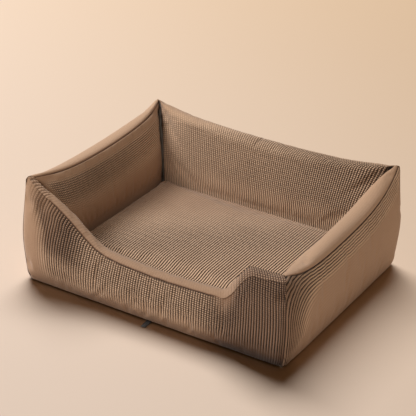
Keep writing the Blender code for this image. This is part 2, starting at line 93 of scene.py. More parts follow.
CAMERA_PLACE = Vector((1.33640, -2.24770, 1.53215))
CAMERA_RIGHT = Vector((0.850103, 0.526088, 0.023609))
CAMERA_UP = Vector((-0.264189, 0.387261, 0.883308))
CAMERA_BACK = Vector((0.455554, -0.757140, 0.468199))
lens = bpy.data.cameras.new("camera")
lens.sensor_width = 36.0
lens.lens = 127.4
camera = placed("camera", lens)
turned = Matrix((CAMERA_RIGHT, CAMERA_UP, CAMERA_BACK)).transposed().to_4x4()
camera.matrix_world = Matrix.Translation(CAMERA_PLACE + Vector((0, MIDDLE_Y, 0))) @ turned
scene.camera = camera
print("camera at", [round(value, 3) for value in camera.location])

# %% [markdown]
# Shader maths reads best as ordinary sums. This small class holds one socket and turns + - * into Math nodes,
# and the recipe class adds any other node from its type, its settings and what goes into its sockets.
# %% A way to write materials
class Value:
    """One output socket that can be used in sums."""

    def __init__(self, recipe, socket):
        self.recipe, self.socket = recipe, socket

    def math(self, operation, *others, first=None):
        terms = [self if first is None else first, *others]
        return self.recipe.add("Math", {"operation": operation}, dict(enumerate(terms)))

    def __add__(self, other):
        return self.math("ADD", other)

    __radd__ = __add__

    def __mul__(self, other):
        return self.math("MULTIPLY", other)

    __rmul__ = __mul__

    def __sub__(self, other):
        return self.math("SUBTRACT", other)

    def __rsub__(self, other):
        return self.math("SUBTRACT", self, first=other)


class Recipe:
    """A material with one Principled shader, and short ways to feed it."""

    def __init__(self, name, **constants):
        self.material = bpy.data.materials.new(name)
        self.material.use_nodes = True
        self.tree = self.material.node_tree
        self.shader = self.tree.nodes["Principled BSDF"]
        for socket, value in constants.items():
            self.shader.inputs[socket.replace("_", " ")].default_value = value

    def plug(self, socket, value):
        if isinstance(value, Value):
            self.tree.links.new(value.socket, socket)
        else:
            socket.default_value = value

    def add(self, kind, settings=None, inputs=None, output=0):
        node = self.tree.nodes.new("ShaderNode" + kind)
        for name, value in (settings or {}).items():
            setattr(node, name, value)
        for name, value in (inputs or {}).items():
            self.plug(node.inputs[name], value)
        return Value(self, node.outputs[output])

    def place(self, stretch=(1, 1, 1)):
        """Where a point lies on the object, in metres."""
        point = self.add("TexCoord", output="Object")
        return self.add("Mapping", {}, {"Vector": point, "Scale": stretch})

    def axes(self, vector):
        return [self.add("SeparateXYZ", {}, {0: vector}, output=axis) for axis in range(3)]

    def noise(self, vector, size, detail=2.0, roughness=0.5):
        """Cloudy noise from 0 to 1 whose blots are about size metres."""
        return self.add("TexNoise", {}, {"Vector": vector, "Scale": 1 / size, "Detail": detail,
                                         "Roughness": roughness})

    def blend(self, share, first, second):
        """From the first colour to the second as share goes from 0 to 1."""
        colours = [c if isinstance(c, Value) else (*c, 1) for c in (first, second)]
        return self.add("Mix", {"data_type": "RGBA"}, {0: share, 6: colours[0], 7: colours[1]}, output=2)

    def range(self, value, low, high, to_low=0.0, to_high=1.0):
        """A soft step: to_low below low, to_high above high."""
        return self.add("MapRange", {"interpolation_type": "SMOOTHSTEP"},
                        {0: value, 1: low, 2: high, 3: to_low, 4: to_high})

    def finish(self, colour, roughness, height=None, depth=0.001, strength=1.0):
        self.plug(self.shader.inputs["Base Color"], colour)
        self.plug(self.shader.inputs["Roughness"], roughness)
        if height is not None:
            bump = self.add("Bump", {}, {"Height": height, "Distance": depth, "Strength": strength})
            self.plug(self.shader.inputs["Normal"], bump)
        return self.material


def linear(red, green, blue):
    """A colour as a painter mixes it, 0 to 255, as the light amounts that a shader wants."""
    shares = [value / 255 for value in (red, green, blue)]
    return tuple(s / 12.92 if s <= 0.04045 else ((s + 0.055) / 1.055) ** 2.4 for s in shares)


print("material helpers ready")

# %% [markdown]
# The bed stands on a plain pale floor whose colour is painted a little darker away from the light, as painted shade.
# A lamp may be told which objects it lights. Four soft lamps light the bed: a window from the left, a fill in front,
# a wide one above and a faint one low on the right. A fifth, large and high behind the bed, lights only the floor, so
# it alone decides how soft the bed's shadow is. A faint warm sky fills the rest.
# %% Floor and lights
def into_mesh(shape, name):
    """A finished bmesh as a mesh, with the bmesh given back."""
    mesh = bpy.data.meshes.new(name)
    shape.to_mesh(mesh)
    shape.free()
    return mesh


floor_mesh = bmesh.new()
bmesh.ops.create_grid(floor_mesh, x_segments=8, y_segments=8, size=9.0)
floor = placed("floor", into_mesh(floor_mesh, "floor"))
floor_paint = Recipe("warm_floor", Roughness=0.9)
clouds = floor_paint.noise(floor_paint.place(), 0.9, 2.0)
across, away, _ = floor_paint.axes(floor_paint.place())
# painted shade: the floor's colour turns darker and tan towards the back and the right
painted_floor_shade = floor_paint.range(across * 0.32 + away * 0.68, -0.8, 1.3, 0.0, 1.0)
pale = floor_paint.blend(clouds, linear(234, 215, 199), linear(238, 220, 206))
floor.data.materials.append(floor_paint.finish(
    floor_paint.blend(painted_floor_shade, pale, linear(197, 171, 142)),
    floor_paint.range(clouds, 0.2, 0.8, 0.85, 0.95)))


def lamp(name, place, aim, size, power, colour, receivers, turn=0.0):
    light = bpy.data.lights.new(name, "AREA")
    light.shape, light.size, light.size_y = "RECTANGLE", size[0], size[1]
    light.energy, light.color = power, colour
    lamp_object = placed(name, light)
    lamp_object.location = place
    lamp_object.rotation_euler = (Vector(aim) - Vector(place)).to_track_quat("-Z", "Y").to_euler()
    lamp_object.rotation_euler.rotate_axis("Z", math.radians(turn))
    lamp_object.light_linking.receiver_collection = receivers


def receivers(name, state):
    """A list for a lamp: it lights only the floor, or everything but the floor."""
    group = bpy.data.collections.new(name)
    group.objects.link(floor)
    group.collection_objects[0].light_linking.link_state = state
    return group


floor_only, all_but_floor = receivers("floor_only", "INCLUDE"), receivers("all_but_floor", "EXCLUDE")
lamp("window_light", (-2.7, -1.1, 3.9), (0, 0, 0.1), (1.6, 1.6), 178.0, (1.0, 0.97, 0.94), all_but_floor)
lamp("front_fill", (-0.7, -3.3, 2.4), (0, 0, 0.1), (1.8, 1.0), 46.0, (1.0, 0.96, 0.92), all_but_floor)
lamp("soft_sky", (0.2, 0, 3.0), (0.2, 0, 0), (4.0, 4.0), 26.0, (1.0, 0.93, 0.86), all_but_floor)
lamp("right_fill", (3.0, -0.4, 0.2), (0, 0, 0.05), (1.8, 0.8), 16.0, (1.0, 0.90, 0.80), all_but_floor)
lamp("floor_light", (-4.5, 4.2, 8.0), (-4.5, 4.2, 0), (8.4, 4.8), 1455.0, (1.0, 0.98, 0.95), floor_only, turn=-12)
sky = bpy.data.worlds.new("sky")
sky.use_nodes = True
sky.node_tree.nodes["Background"].inputs["Color"].default_value = (*linear(255, 188, 120), 1)
sky.node_tree.nodes["Background"].inputs["Strength"].default_value = 0.06
scene.world = sky
scene.view_settings.view_transform = "Standard"
print("lamps in place:", [lamp_data.name for lamp_data in bpy.data.lights])

# %% [markdown]
# The bed's cloth is a knitted pile in raised ribs. Fine cross notches cut each rib into beads. The pile is pale
# where it stands up, and painted shade makes it dark brown down in the grooves. Here the shape comes from the mesh,
# and this recipe adds the painted groove shade, single fibres and slow random changes of tone. Each cloth carries a
# map that counts ribs one way and beads the other, and a nap attribute with three numbers: how strong the ribs are,
# how strong the beads are, and a last one that is 1 in a seam or fold, less where shade is painted on the pile, and
# below 0 where a painted highlight makes the pile pale. A seam's dark is its own; a fold's dark is painted shade.
# %% Ribbed cloth
def groove_depth(recipe, count):
    """0 on the top of a rib or bead, rising to 1 down in the groove beside it."""
    wave = (count * math.pi).math("SINE").math("ABSOLUTE")
    return recipe.range(wave, 0.42, 0.92, 1.0, 0.0)


def ribbed_cloth(name, ridge, middle, groove):
    paint = Recipe(name, Specular_IOR_Level=0.15, Sheen_Weight=0.25, Sheen_Roughness=0.6)
    rib_count, bead_count, _ = paint.axes(paint.add("UVMap", {"uv_map": "weave"}))
    rib, bead, seam = paint.axes(paint.add("Attribute", {"attribute_name": "nap"}, output="Vector"))
    ribs = groove_depth(paint, rib_count) * rib
    beads = groove_depth(paint, bead_count) * bead * rib
    point = paint.place()
    fibres = paint.noise(point, 0.0011, 4.0, 0.7)
    lint = paint.noise(point, 0.0045, 3.0, 0.6)
    shade = paint.noise(point, 0.055, 3.0, 0.55)
    raised = paint.range(fibres, 0.25, 0.75, 0.60, 1.0) * paint.range(rib, 0.0, 0.7, 0.22, 1.0)
    raised = raised * paint.range(shade, 0.35, 0.7, 1.0, 0.82)
    # painted highlight: where the last nap number is below 0, the pile is lifted towards the pale ridge colour
    painted_highlight = seam * -1.0
    raised = raised.math("MAXIMUM", painted_highlight) * paint.range(lint, 0.3, 0.7, 0.86, 1.06)
    pile = paint.blend(raised, middle, ridge)
    # painted shade: the last nap number browns the pile and, when high, darkens it to the groove colour; a seam's
    # dark is its own, a fold's is painted shade
    pile = paint.blend(paint.range(seam, 0.0, 0.9), pile, SHADED_PILE)
    # painted shade: down in the grooves and between the beads the pile is darkened towards the groove colour
    dark = (ribs * 0.98).math("MAXIMUM", beads * 0.94)
    dark = dark * paint.range(lint, 0.25, 0.75, 0.75, 1.05)
    dark = dark.math("MAXIMUM", paint.range(seam, 0.55, 0.95, 0.0, 0.95))
    dark = dark.math("MINIMUM", 1.0)
    colour = paint.blend(dark, pile, groove)
    rough = paint.range(fibres, 0.2, 0.8, 0.86, 0.98)
    height = fibres * 0.5 + lint * 0.5 - dark * 0.5
    return paint.finish(colour, rough, height, 0.0009, 0.75)


SHADED_PILE = linear(112, 76, 48)
CLOTH = ribbed_cloth("ribbed_cloth", linear(238, 204, 172), linear(172, 138, 110), linear(42, 25, 13))
BINDING = ribbed_cloth("smooth_binding", linear(184, 152, 126), linear(155, 126, 102), linear(72, 49, 32))
print("cloth recipes:", CLOTH.name, BINDING.name)

# %% [markdown]
# A bolster's skin is one long profile swept along the wall: it rolls out from the hem, leans in to the crown,
# turns over and drops to the seat. The crown's height changes along each wall, high at the corners and low in the
# middle, and the front wall dips for the entrance.
# %% Heights of the walls
def smooth_step(start, end, value):
    """0 before start and 1 after end, or the other way round where end is the smaller."""
    share = np.clip((value - start) / (end - start), 0.0, 1.0)
    return share * share * (3 - 2 * share)


def sagging(share, middle, end, power):
    """Height of a line that hangs low in its middle and climbs to both ends."""
    return middle + (end - middle) * np.abs(share) ** power


SOFT_CORNER = 0.190
LEFT_SHOULDER, RIGHT_SHOULDER = 0.186, 0.180
SILL, SILL_X, SILL_CURVE = 0.109, 0.030, 0.35
LEFT_RAMP, RIGHT_RAMP = (-0.272, -0.118), (0.162, 0.230)
BACK_SAG, LEFT_SAG, RIGHT_SAG, RIGHT_FALL = 0.2180, 0.2222, 0.187, 0.010


def wall_height(side, along):
    """Height of a wall's crown at a distance along it from its middle."""
    if side == "front":
        share = along / HALF_WIDTH
        shoulder = np.where(along < 0, sagging(share, LEFT_SHOULDER, TIP_HEIGHT, 8),
                            sagging(share, RIGHT_SHOULDER, SOFT_CORNER, 4))
        sill = SILL + SILL_CURVE * (along - SILL_X) ** 2
        opening = smooth_step(*LEFT_RAMP, along) - smooth_step(*RIGHT_RAMP, along)
        return shoulder + (sill - shoulder) * opening
    if side == "right":
        share = along / HALF_DEPTH
        line = RIGHT_SAG + RIGHT_FALL * share
        end = np.where(share < 0, SOFT_CORNER - RIGHT_SAG + RIGHT_FALL, TIP_HEIGHT - RIGHT_SAG - RIGHT_FALL)
        return line + end * np.abs(share) ** 3
    if side == "back":
        return sagging(along / HALF_WIDTH, BACK_SAG, TIP_HEIGHT, 2.2)
    return sagging(along / HALF_DEPTH, LEFT_SAG, TIP_HEIGHT, np.where(along < 0, 1.6, 2.5))


print("sill", float(wall_height("front", np.array(0.03))), "tip", TIP_HEIGHT)

# %% [markdown]
# The profile at one station is a line of points, each a distance inward from the outside and a height. Outside,
# crown and inside are numbered 0 to 1, 1 to 2 and 2 to 3, so a panel is the cloth between two such numbers.
# %% Profile of a bolster
SEAT_EDGE, SEAT_NUMBER = 0.070, 0.94
TIP_MIDDLE, TIP_HALF, TIP_DROP = 0.20, 0.13, 0.010
PINCH_LENGTH = 0.040
SETTLED_PINCH = 0.55
HEM_ROLL, HEM_TUCK = 0.024, 0.0040
BELLY_OUT = 0.0050
CROWN_SHAPE = {"front": (0.34, 0.25, 0.017), "back": (0.42, 0.33, 0.020), "left": (0.42, 0.33, 0.020),
               "right": (0.38, 0.31, 0.020)}
BELLY = 0.4
SIZES = {}
for side, half_length, wall, neighbour in (("front", HALF_WIDTH, END_WALL, SIDE_WALL),
                                           ("back", HALF_WIDTH, END_WALL, SIDE_WALL),
                                           ("left", HALF_DEPTH, SIDE_WALL, END_WALL),
                                           ("right", HALF_DEPTH, SIDE_WALL, END_WALL)):
    SIZES[side] = (half_length, wall, neighbour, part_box(side + "_outer_panel")[0].z)


def profile(side, share, numbers):
    """Points (inward, height) of the skin at these profile numbers, for one station of the wall."""
    half_length, thickness, _, hem = SIZES[side]
    settled = (side == "front" and share > 0) or (side == "right" and share < 0)
    pinch = SETTLED_PINCH if settled else 1.0
    open_share = 1 - pinch * math.exp(-half_length * (1 - abs(share)) / PINCH_LENGTH)
    crown_middle, crown_half, crown_drop = CROWN_SHAPE[side]
    middle = thickness * (TIP_MIDDLE + (crown_middle - TIP_MIDDLE) * open_share)
    half = thickness * (TIP_HALF + (crown_half - TIP_HALF) * open_share)
    drop = TIP_DROP + (crown_drop - TIP_DROP) * open_share
    knee = float(wall_height(side, np.array(half_length * share))) - drop
    rise = np.clip(numbers, 0, 1)
    height = hem + (knee - hem) * rise
    inward = HEM_TUCK * np.clip(1 - (height - hem) / HEM_ROLL, 0, 1) ** 2.2
    inward = inward + (middle - half) * np.clip((rise - BELLY) / (1 - BELLY), 0, 1) ** 2
    inward = inward - BELLY_OUT * np.sin(math.pi * np.clip(rise * 1.05, 0, 1)) ** 1.5 * min(1, knee / 0.15)
    turn = math.pi * (2 - np.clip(numbers, 1, 2))
    inward = np.where(numbers > 1, middle + half * np.cos(turn), inward)
    height = np.where(numbers > 1, knee + drop * np.sin(turn), height)
    fall = np.clip(np.clip(numbers - 2, 0, 1) / SEAT_NUMBER, 0, 1)
    inside = middle + half + (thickness - middle - half) * np.sin(fall * math.pi / 2)
    below = knee + (SEAT_EDGE - knee) * fall
    last = np.clip((numbers - 2 - SEAT_NUMBER) / (1 - SEAT_NUMBER), 0, 1)
    below = below + (INNER_HEM - SEAT_EDGE) * last
    inward = np.where(numbers > 2, inside, inward)
    height = np.where(numbers > 2, below, height)
    return np.stack([inward, height], axis=-1)


def evenly(points, count):
    """The same line with count + 1 points at equal distances, and the line's length."""
    steps = np.linalg.norm(np.diff(points, axis=0), axis=1)
    run = np.concatenate([[0], np.cumsum(steps)])
    wanted = np.linspace(0, run[-1], count + 1)
    return np.stack([np.interp(wanted, run, points[:, axis]) for axis in range(points.shape[1])], axis=-1), run[-1]


print("profile length at the back's middle:", round(evenly(profile("back", 0.0, np.linspace(0, 3, 90)), 10)[1], 3))

# %% [markdown]
# Two walls meet at a corner on a slanting plane, like a picture frame's. Outside, the corner is rounded in plan:
# near it a station turns along an arc instead of running straight on. The rounding dies out over the crown, so
# that the corner's tip stays a pinched ear.
# %% Corners
CORNER_RADIUS = 0.017
TINY = 1e-6  # the profile numbers ride along with the points, too small to change any length


def wall_points(side, share, inward, height, rounding):
    """Places in the room of one station's profile points, bent round the corner where that is near."""
    half_length, thickness, neighbour, _ = SIZES[side]
    reach = half_length - inward * neighbour / thickness
    left = reach * (1 - abs(share))
    bend = np.clip((CORNER_RADIUS - left) / CORNER_RADIUS, 0, 1)
    angle = bend * math.pi / 4
    spare = np.clip(CORNER_RADIUS - left, 0, None)
    along = np.sign(share) * (reach - left - rounding * (spare - CORNER_RADIUS * np.sin(angle)))
    inward = inward + rounding * CORNER_RADIUS * (1 - np.cos(angle))
    if side == "front":
        place = (along, MIDDLE_Y - HALF_DEPTH + inward)
    elif side == "back":
        place = (-along, MIDDLE_Y + HALF_DEPTH - inward)
    elif side == "right":
        place = (HALF_WIDTH - inward, MIDDLE_Y + along)
    else:
        place = (-HALF_WIDTH + inward, MIDDLE_Y - along)
    return np.stack([place[0], place[1], height], axis=-1)


def fading_round(height):
    return 1 - smooth_step(0.55, 1.0, np.clip(height / TIP_HEIGHT, 0, 1)) * 0.55


def panel_cage(side, first, last, columns, rows):
    """Coarse places of a panel's points, station by station, and the panel's width in cloth at each station."""
    cage = np.zeros((columns + 1, rows + 1, 3))
    widths = np.zeros(columns + 1)
    for column in range(columns + 1):
        share = 2 * column / columns - 1
        start, end = (seam(share) if callable(seam) else seam for seam in (first, last))
        numbers = np.linspace(start, end, 160)
        numbered = np.column_stack([profile(side, share, numbers), numbers * TINY])
        line, widths[column] = evenly(numbered, rows)
        inward, height, numbers = line[:, 0], line[:, 1], line[:, 2] / TINY
        rounding = fading_round(height) * (1 - smooth_step(1.0, 1.8, numbers))
        cage[column] = wall_points(side, share, inward, height, rounding)
    return cage, widths


print("corner radius", CORNER_RADIUS)

# %% [markdown]
# The cloth is puffed by its stuffing, and that is best left to a cloth simulation. A coarse sheet is pinned all
# round, where it is sewn, and light pressure from inside blows the rest out. Gravity is off, and no point may move
# far. Only the coarse places are kept, and the fine ribbed cloth is hung on them afterwards.
# %% Puffing the cloth
waiting = []


def per_vertex(mesh, what="co"):
    """One row of three numbers for each vertex: its place, or its normal."""
    flat = np.zeros(len(mesh.vertices) * 3)
    mesh.vertices.foreach_get(what, flat)
    return flat.reshape(-1, 3)


def move_to(mesh, places):
    mesh.vertices.foreach_set("co", places.astype(np.float32).ravel())
    mesh.update()


def sheet_object(name, places):
    """A grid of faces through a table of places, as a mesh object."""
    columns, rows = places.shape[0] - 1, places.shape[1] - 1
    grid = bmesh.new()
    bmesh.ops.create_grid(grid, x_segments=columns, y_segments=rows, size=1.0, calc_uvs=True)
    mesh = into_mesh(grid, name)
    flat = per_vertex(mesh)
    column = np.rint((flat[:, 0] + 1) / 2 * columns).astype(int)
    row = np.rint((flat[:, 1] + 1) / 2 * rows).astype(int)
    move_to(mesh, places[column, row])
    return placed(name, mesh), column, row


def pin_and_puff(name, cage, pressure, slack, cap, hold_below=0.0):
    """Queue a coarse sheet for the simulation. Points lower than hold_below stay put, beside the cushion."""
    piece, column, row = sheet_object("puff_" + name, cage)
    last_column, last_row = cage.shape[0] - 1, cage.shape[1] - 1
    edge = (column == 0) | (column == last_column) | (row == 0) | (row == last_row)
    edge = edge | (cage[column, row, 2] < hold_below)
    sewn = piece.vertex_groups.new(name="sewn")
    sewn.add([int(index) for index in np.nonzero(edge)[0]], 1.0, "REPLACE")
    cloth = piece.modifiers.new("stuffing", "CLOTH")
    cloth.settings.vertex_group_mass = "sewn"
    cloth.settings.use_pressure = True
    cloth.settings.uniform_pressure_force = pressure
    cloth.settings.shrink_min = -slack
    cloth.settings.tension_stiffness = cloth.settings.compression_stiffness = 12.0
    cloth.settings.bending_stiffness = 0.6
    cloth.settings.effector_weights.gravity = 0.0
    cloth.settings.quality = 5
    waiting.append((piece, cage, column, row, cap))


def run_puffing(frames=20):
    """Step the clock once for all queued sheets, then return each one's new places."""
    done = {}
    for moment in range(1, frames + 1):
        scene.frame_set(moment)
    view = bpy.context.evaluated_depsgraph_get()
    for piece, cage, column, row, cap in waiting:
        places = cage.copy()
        moved = per_vertex(piece.evaluated_get(view).to_mesh()) - cage[column, row]
        far = np.linalg.norm(moved, axis=1, keepdims=True) + 1e-9
        places[column, row] = cage[column, row] + moved / far * cap * np.tanh(far / cap)
        done[piece.name.removeprefix("puff_")] = places
        bpy.data.objects.remove(piece)
    waiting.clear()
    scene.frame_set(1)
    return done


print("simulation", "on")

# %% [markdown]
# The panels of all four bolsters: each is the skin between two profile numbers. The front has a smooth band over
# its crown between two seams. The sheets are a few ribs coarse, which is fine enough for stuffing. Slack says how
# much wider a panel is cut than its frame: the tight crowns get little, or they wrinkle.
# %% The bolsters' panels, coarse
def front_seam(share):
    """The seam under the front's smooth band climbs the crown on the left ramp, where the band narrows."""
    return 1 + 1 / 6 + 0.16 * float(smooth_step(-0.20, -0.64, share))


def right_seam(share):
    """The right wall's seam climbs on to the crown near both its ends."""
    from_front, from_back = HALF_DEPTH * (1 + share), HALF_DEPTH * (1 - share)
    return 1 + 0.50 * math.exp(-from_front / 0.060) + 0.28 * math.exp(-from_back / 0.050)


LEFT_SEAM = 1.80
USUAL_SLACK = 0.006
SLACK = {"front_band": 0.002, "left_outer": 0.003, "front_inner": 0.014, "back_inner": 0.014, "left_inner": 0.010,
         "right_inner": 0.003}
PANELS = {
    "front_outer": ("front", 0.0, front_seam), "front_band": ("front", front_seam, 1 + 4 / 6),
    "front_inner": ("front", 1 + 4 / 6, 3.0),
    "back_outer": ("back", 0.0, 1.0), "back_inner": ("back", 1.0, 3.0),
    "left_outer": ("left", 0.0, LEFT_SEAM), "left_inner": ("left", LEFT_SEAM, 3.0),
    "right_outer": ("right", 0.0, right_seam), "right_inner": ("right", right_seam, 3.0),
}
COARSE_CELL = 0.0090
cages, cloth_width = {}, {}
for name, (side, first, last) in PANELS.items():
    columns = round(2 * SIZES[side][0] / COARSE_CELL)
    first_there, last_there = (seam(0.0) if callable(seam) else seam for seam in (first, last))
    _, length = evenly(profile(side, 0.0, np.linspace(first_there, last_there, 160)), 4)
    rows = max(5, round(max(length, 0.02) / COARSE_CELL))
    cages[name], cloth_width[name] = panel_cage(side, first, last, columns, rows)
    inside = name.endswith("inner")
    pin_and_puff(name, cages[name], pressure=3.0, slack=SLACK.get(name, USUAL_SLACK), cap=0.0045,
                 hold_below=CUSHION_TOP + 0.008 if inside else 0.0)
print("coarse panels:", {name: cage.shape[:2] for name, cage in cages.items()})

# %% [markdown]
# The loose cushion is a crowned pad: highest in the middle, with a rounded edge all round. Its top is a grid drawn
# into a rectangle with round corners, and it is puffed with the rest.
# %% The cushion's top, coarse
def half_and_middle(node, inset=0.0):
    """Half the size of a flat part, seen from above, then its middle, its lowest and its highest height."""
    low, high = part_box(node)
    return (((high.x - low.x) / 2 - inset, (high.y - low.y) / 2 - inset),
            ((high.x + low.x) / 2, (high.y + low.y) / 2), low.z, high.z)


CUSHION_HALF, CUSHION_MIDDLE, _, _ = half_and_middle("cushion_top_panel")
CUSHION_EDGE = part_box("cushion_border")[1].z
CUSHION_CORNER = 0.022
EDGE_ROLL = 0.009
PAD_CELLS = (56, 42)


def corner_pull(away_x, away_y):
    """How far a point of a square corner is drawn in to make it round."""
    largest, length = np.maximum(np.abs(away_x), np.abs(away_y)), np.hypot(away_x, away_y)
    return np.where(length > 1e-9, largest / np.maximum(length, 1e-9), 1.0)


def rounded_plan(u, v, half_x, half_y, radius):
    """Draws a square grid, -1 to 1 both ways, into a rectangle with round corners."""
    x, y = u * half_x, v * half_y
    inner_x = np.clip(x, -half_x + radius, half_x - radius)
    inner_y = np.clip(y, -half_y + radius, half_y - radius)
    away_x, away_y = x - inner_x, y - inner_y
    pull = corner_pull(away_x, away_y)
    return inner_x + away_x * pull, inner_y + away_y * pull


def square_grid(columns, rows):
    return np.meshgrid(np.linspace(-1, 1, columns + 1), np.linspace(-1, 1, rows + 1), indexing="ij")


def pad_top(half, middle, edge, crown):
    """Places over a crowned pad, whose height goes from edge, round its rim, to crown."""
    u, v = square_grid(*PAD_CELLS)
    x, y = rounded_plan(u, v, *half, CUSHION_CORNER)
    inset = np.minimum(half[0] * (1 - np.abs(u)), half[1] * (1 - np.abs(v)))
    roll = np.clip(inset / EDGE_ROLL, 0, 1)
    swell = (1 - np.abs(u) ** 2.6) * (1 - np.abs(v) ** 2.6)
    rounded = np.sqrt(1 - (1 - roll) ** 2)
    z = edge + (crown - edge) * (0.82 * rounded + 0.18 * swell)
    return np.stack([x + middle[0], y + middle[1], z], axis=-1)


cushion_cage = pad_top(CUSHION_HALF, CUSHION_MIDDLE, CUSHION_EDGE, CUSHION_TOP + 0.0025)
pin_and_puff("cushion_top", cushion_cage, pressure=1.2, slack=USUAL_SLACK, cap=0.004)
puffed = run_puffing()
print("puffed sheets:", {name: round(float(np.abs(puffed[name] - cages.get(name, cushion_cage)).max()) * 1000, 1)
                         for name in puffed}, "mm at most")

# %% [markdown]
# The fine cloth hangs on the coarse places by smooth curves through them, the way a draughtsman's spline passes
# through pins. Each fine point then sinks by the depth of the groove it lies in. A panel's own rule says how its
# ribs run: it returns the rib count, the bead count, how strong each is, how deep the seam pulls, and a last mark for
# folds and darts that also carries painted shade, and a painted highlight where it is below 0.
# %% Fine ribbed cloth
RIB_DEPTH = 0.0028
RIB_PITCH = 0.0056
BEAD_PITCH = 0.0042
SEAM_DEPTH = 0.0022
BEAD_SHARE = 0.6
CLEAR_OF_SEAM = 0.1
PANEL_FILL = 0.8


def through_pins(coarse, fine):
    """Weights that carry coarse + 1 pins to fine + 1 points on a smooth curve through them."""
    place = np.linspace(0, coarse, fine + 1)
    first = np.minimum(place.astype(int), coarse - 1)
    t = place - first
    shares = [-0.5 * t + t**2 - 0.5 * t**3, 1 - 2.5 * t**2 + 1.5 * t**3,
              0.5 * t + 2 * t**2 - 1.5 * t**3, -0.5 * t**2 + 0.5 * t**3]
    weights = np.zeros((fine + 1, coarse + 1))
    point = np.arange(fine + 1)
    for offset, share in zip((-1, 0, 1, 2), shares):
        pin = first + offset
        end = np.clip(pin, 0, coarse)
        beyond = pin != end
        weights[point, end] += np.where(beyond, 2 * share, share)
        weights[point[beyond], np.abs(end[beyond] - 1)] -= share[beyond]
    return weights


def fine_places(cage, columns, rows):
    across = through_pins(cage.shape[0] - 1, columns)
    up = through_pins(cage.shape[1] - 1, rows)
    return np.einsum("ic,crk,jr->ijk", across, cage, up)


def outward(places):
    normal = np.cross(np.gradient(places, axis=0), np.gradient(places, axis=1))
    return normal / (np.linalg.norm(normal, axis=-1, keepdims=True) + 1e-12)


def relief(count):
    """0 in the groove and 1 on the round top of a rib."""
    return np.abs(np.sin(math.pi * count)) ** 0.7


def write_weave(piece, column, row, rib_count, bead_count, nap):
    """Store the counts as the weave map and the strengths as the nap attribute."""
    mesh = piece.data
    corner = np.zeros(len(mesh.loops), dtype=np.int32)
    mesh.loops.foreach_get("vertex_index", corner)
    counts = np.stack([rib_count[column, row], bead_count[column, row]], axis=-1)
    layer = mesh.uv_layers[0] if mesh.uv_layers else mesh.uv_layers.new(name="weave")
    layer.name = "weave"
    layer.data.foreach_set("uv", counts[corner].astype(np.float32).ravel())
    attribute = mesh.attributes.new("nap", "FLOAT_VECTOR", "POINT")
    attribute.data.foreach_set("vector", nap[column, row].astype(np.float32).ravel())


def cloth_spot(places, up):
    """What a panel's rule has to know at each point: how far along it is, and how far from each end and seam."""
    steps = np.linalg.norm(np.diff(places, axis=0), axis=2)
    run = np.concatenate([np.zeros((1, places.shape[1])), np.cumsum(steps, axis=0)])
    share = np.linspace(-1, 1, places.shape[0])[:, None] + 0 * up
    return {"share": share, "from_start": run, "from_end": run[-1] - run, "up": up, "down": up[:, -1:] - up,
            "place": places}


def belong(piece, material, body, replaced, slot, fill=None):
    """A piece's finish, the body it moves with and the fixed parts it stands for. How full it is is not used."""
    piece.data.materials.append(material)
    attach(piece, body)
    if replaced:
        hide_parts(replaced)
    return piece


def ribbed_sheet(name, places, sink, counts, nap, *belongings):
    """The cloth itself: every place sunk by its own depth, with its counts and its nap."""
    piece, column, row = sheet_object(name, places - outward(places) * sink[..., None])
    write_weave(piece, column, row, *counts, np.stack(nap, axis=-1))
    piece.data.shade_smooth()
    return belong(piece, *belongings)


def hang_cloth(name, cage, widths, columns, rows, rule, material, body, replaced, slot):
    places = fine_places(cage, columns, rows)
    width = np.interp(np.linspace(0, 1, columns + 1), np.linspace(0, 1, len(widths)), widths)
    up = width[:, None] * np.linspace(0, 1, rows + 1)[None, :]
    rib_count, bead_count, rib, bead, seam, fold_and_painted_light = rule(cloth_spot(places, up))
    lift = relief(rib_count) * (1 - bead * BEAD_SHARE * (1 - relief(bead_count)))
    # the last mark: seams and darts, painted shade above 0 and a painted highlight below 0
    mark = np.where((fold_and_painted_light < 0) & (seam < CLEAR_OF_SEAM), fold_and_painted_light, np.maximum(seam, fold_and_painted_light))
    sink = RIB_DEPTH * rib * (1 - lift) + SEAM_DEPTH * np.clip(mark, 0, 1)
    return ribbed_sheet(name, places, sink, (rib_count, bead_count), (rib, bead, mark),
                        material, body, replaced, slot, PANEL_FILL)


print("rib pitch", RIB_PITCH, "bead pitch", BEAD_PITCH)

# %% [markdown]
# Rules for how the ribs run. On the front they stand upright, fade into smooth pile at the left corner and near
# the floor, and run as beads in the upper half. On the right side they follow the corner and the top seam in
# nested bends and leave the middle smooth. Inside they stand upright at the back and lie along the seam at the left.
# %% How the ribs run
def near(distance, width):
    """1 on a seam, dying out within about width."""
    return np.exp(-((distance / width) ** 2))


SEAM_WIDTH = 0.0021
CORNER_GAP = 0.0060
RIBS = {side: round(2 * size[0] / RIB_PITCH) for side, size in SIZES.items()}
RIBS["cushion"] = round(2 * CUSHION_HALF[0] / RIB_PITCH)


def upright_ribs(spot, side):
    return (spot["share"] + 1) / 2 * RIBS[side]


def dart(from_corner, up):
    """One arm of the Y-shaped tuck at the foot of the front right corner."""
    share = np.clip((up - 0.004) / 0.024, 0, 1)
    arm = 0.013 * (1 - share)
    return near(from_corner - arm, 0.0016) * (up < 0.030)


BAND_START, BAND_END = (-0.247, -0.236), (0.135, 0.165)
LEFT_PEAK_X, RIGHT_FOLD_X = -0.235, 0.168


def sewn_band(x):
    """1 where the front's band is sewn on, 0 past its two ends."""
    return smooth_step(*BAND_START, x) * (1 - smooth_step(*BAND_END, x))


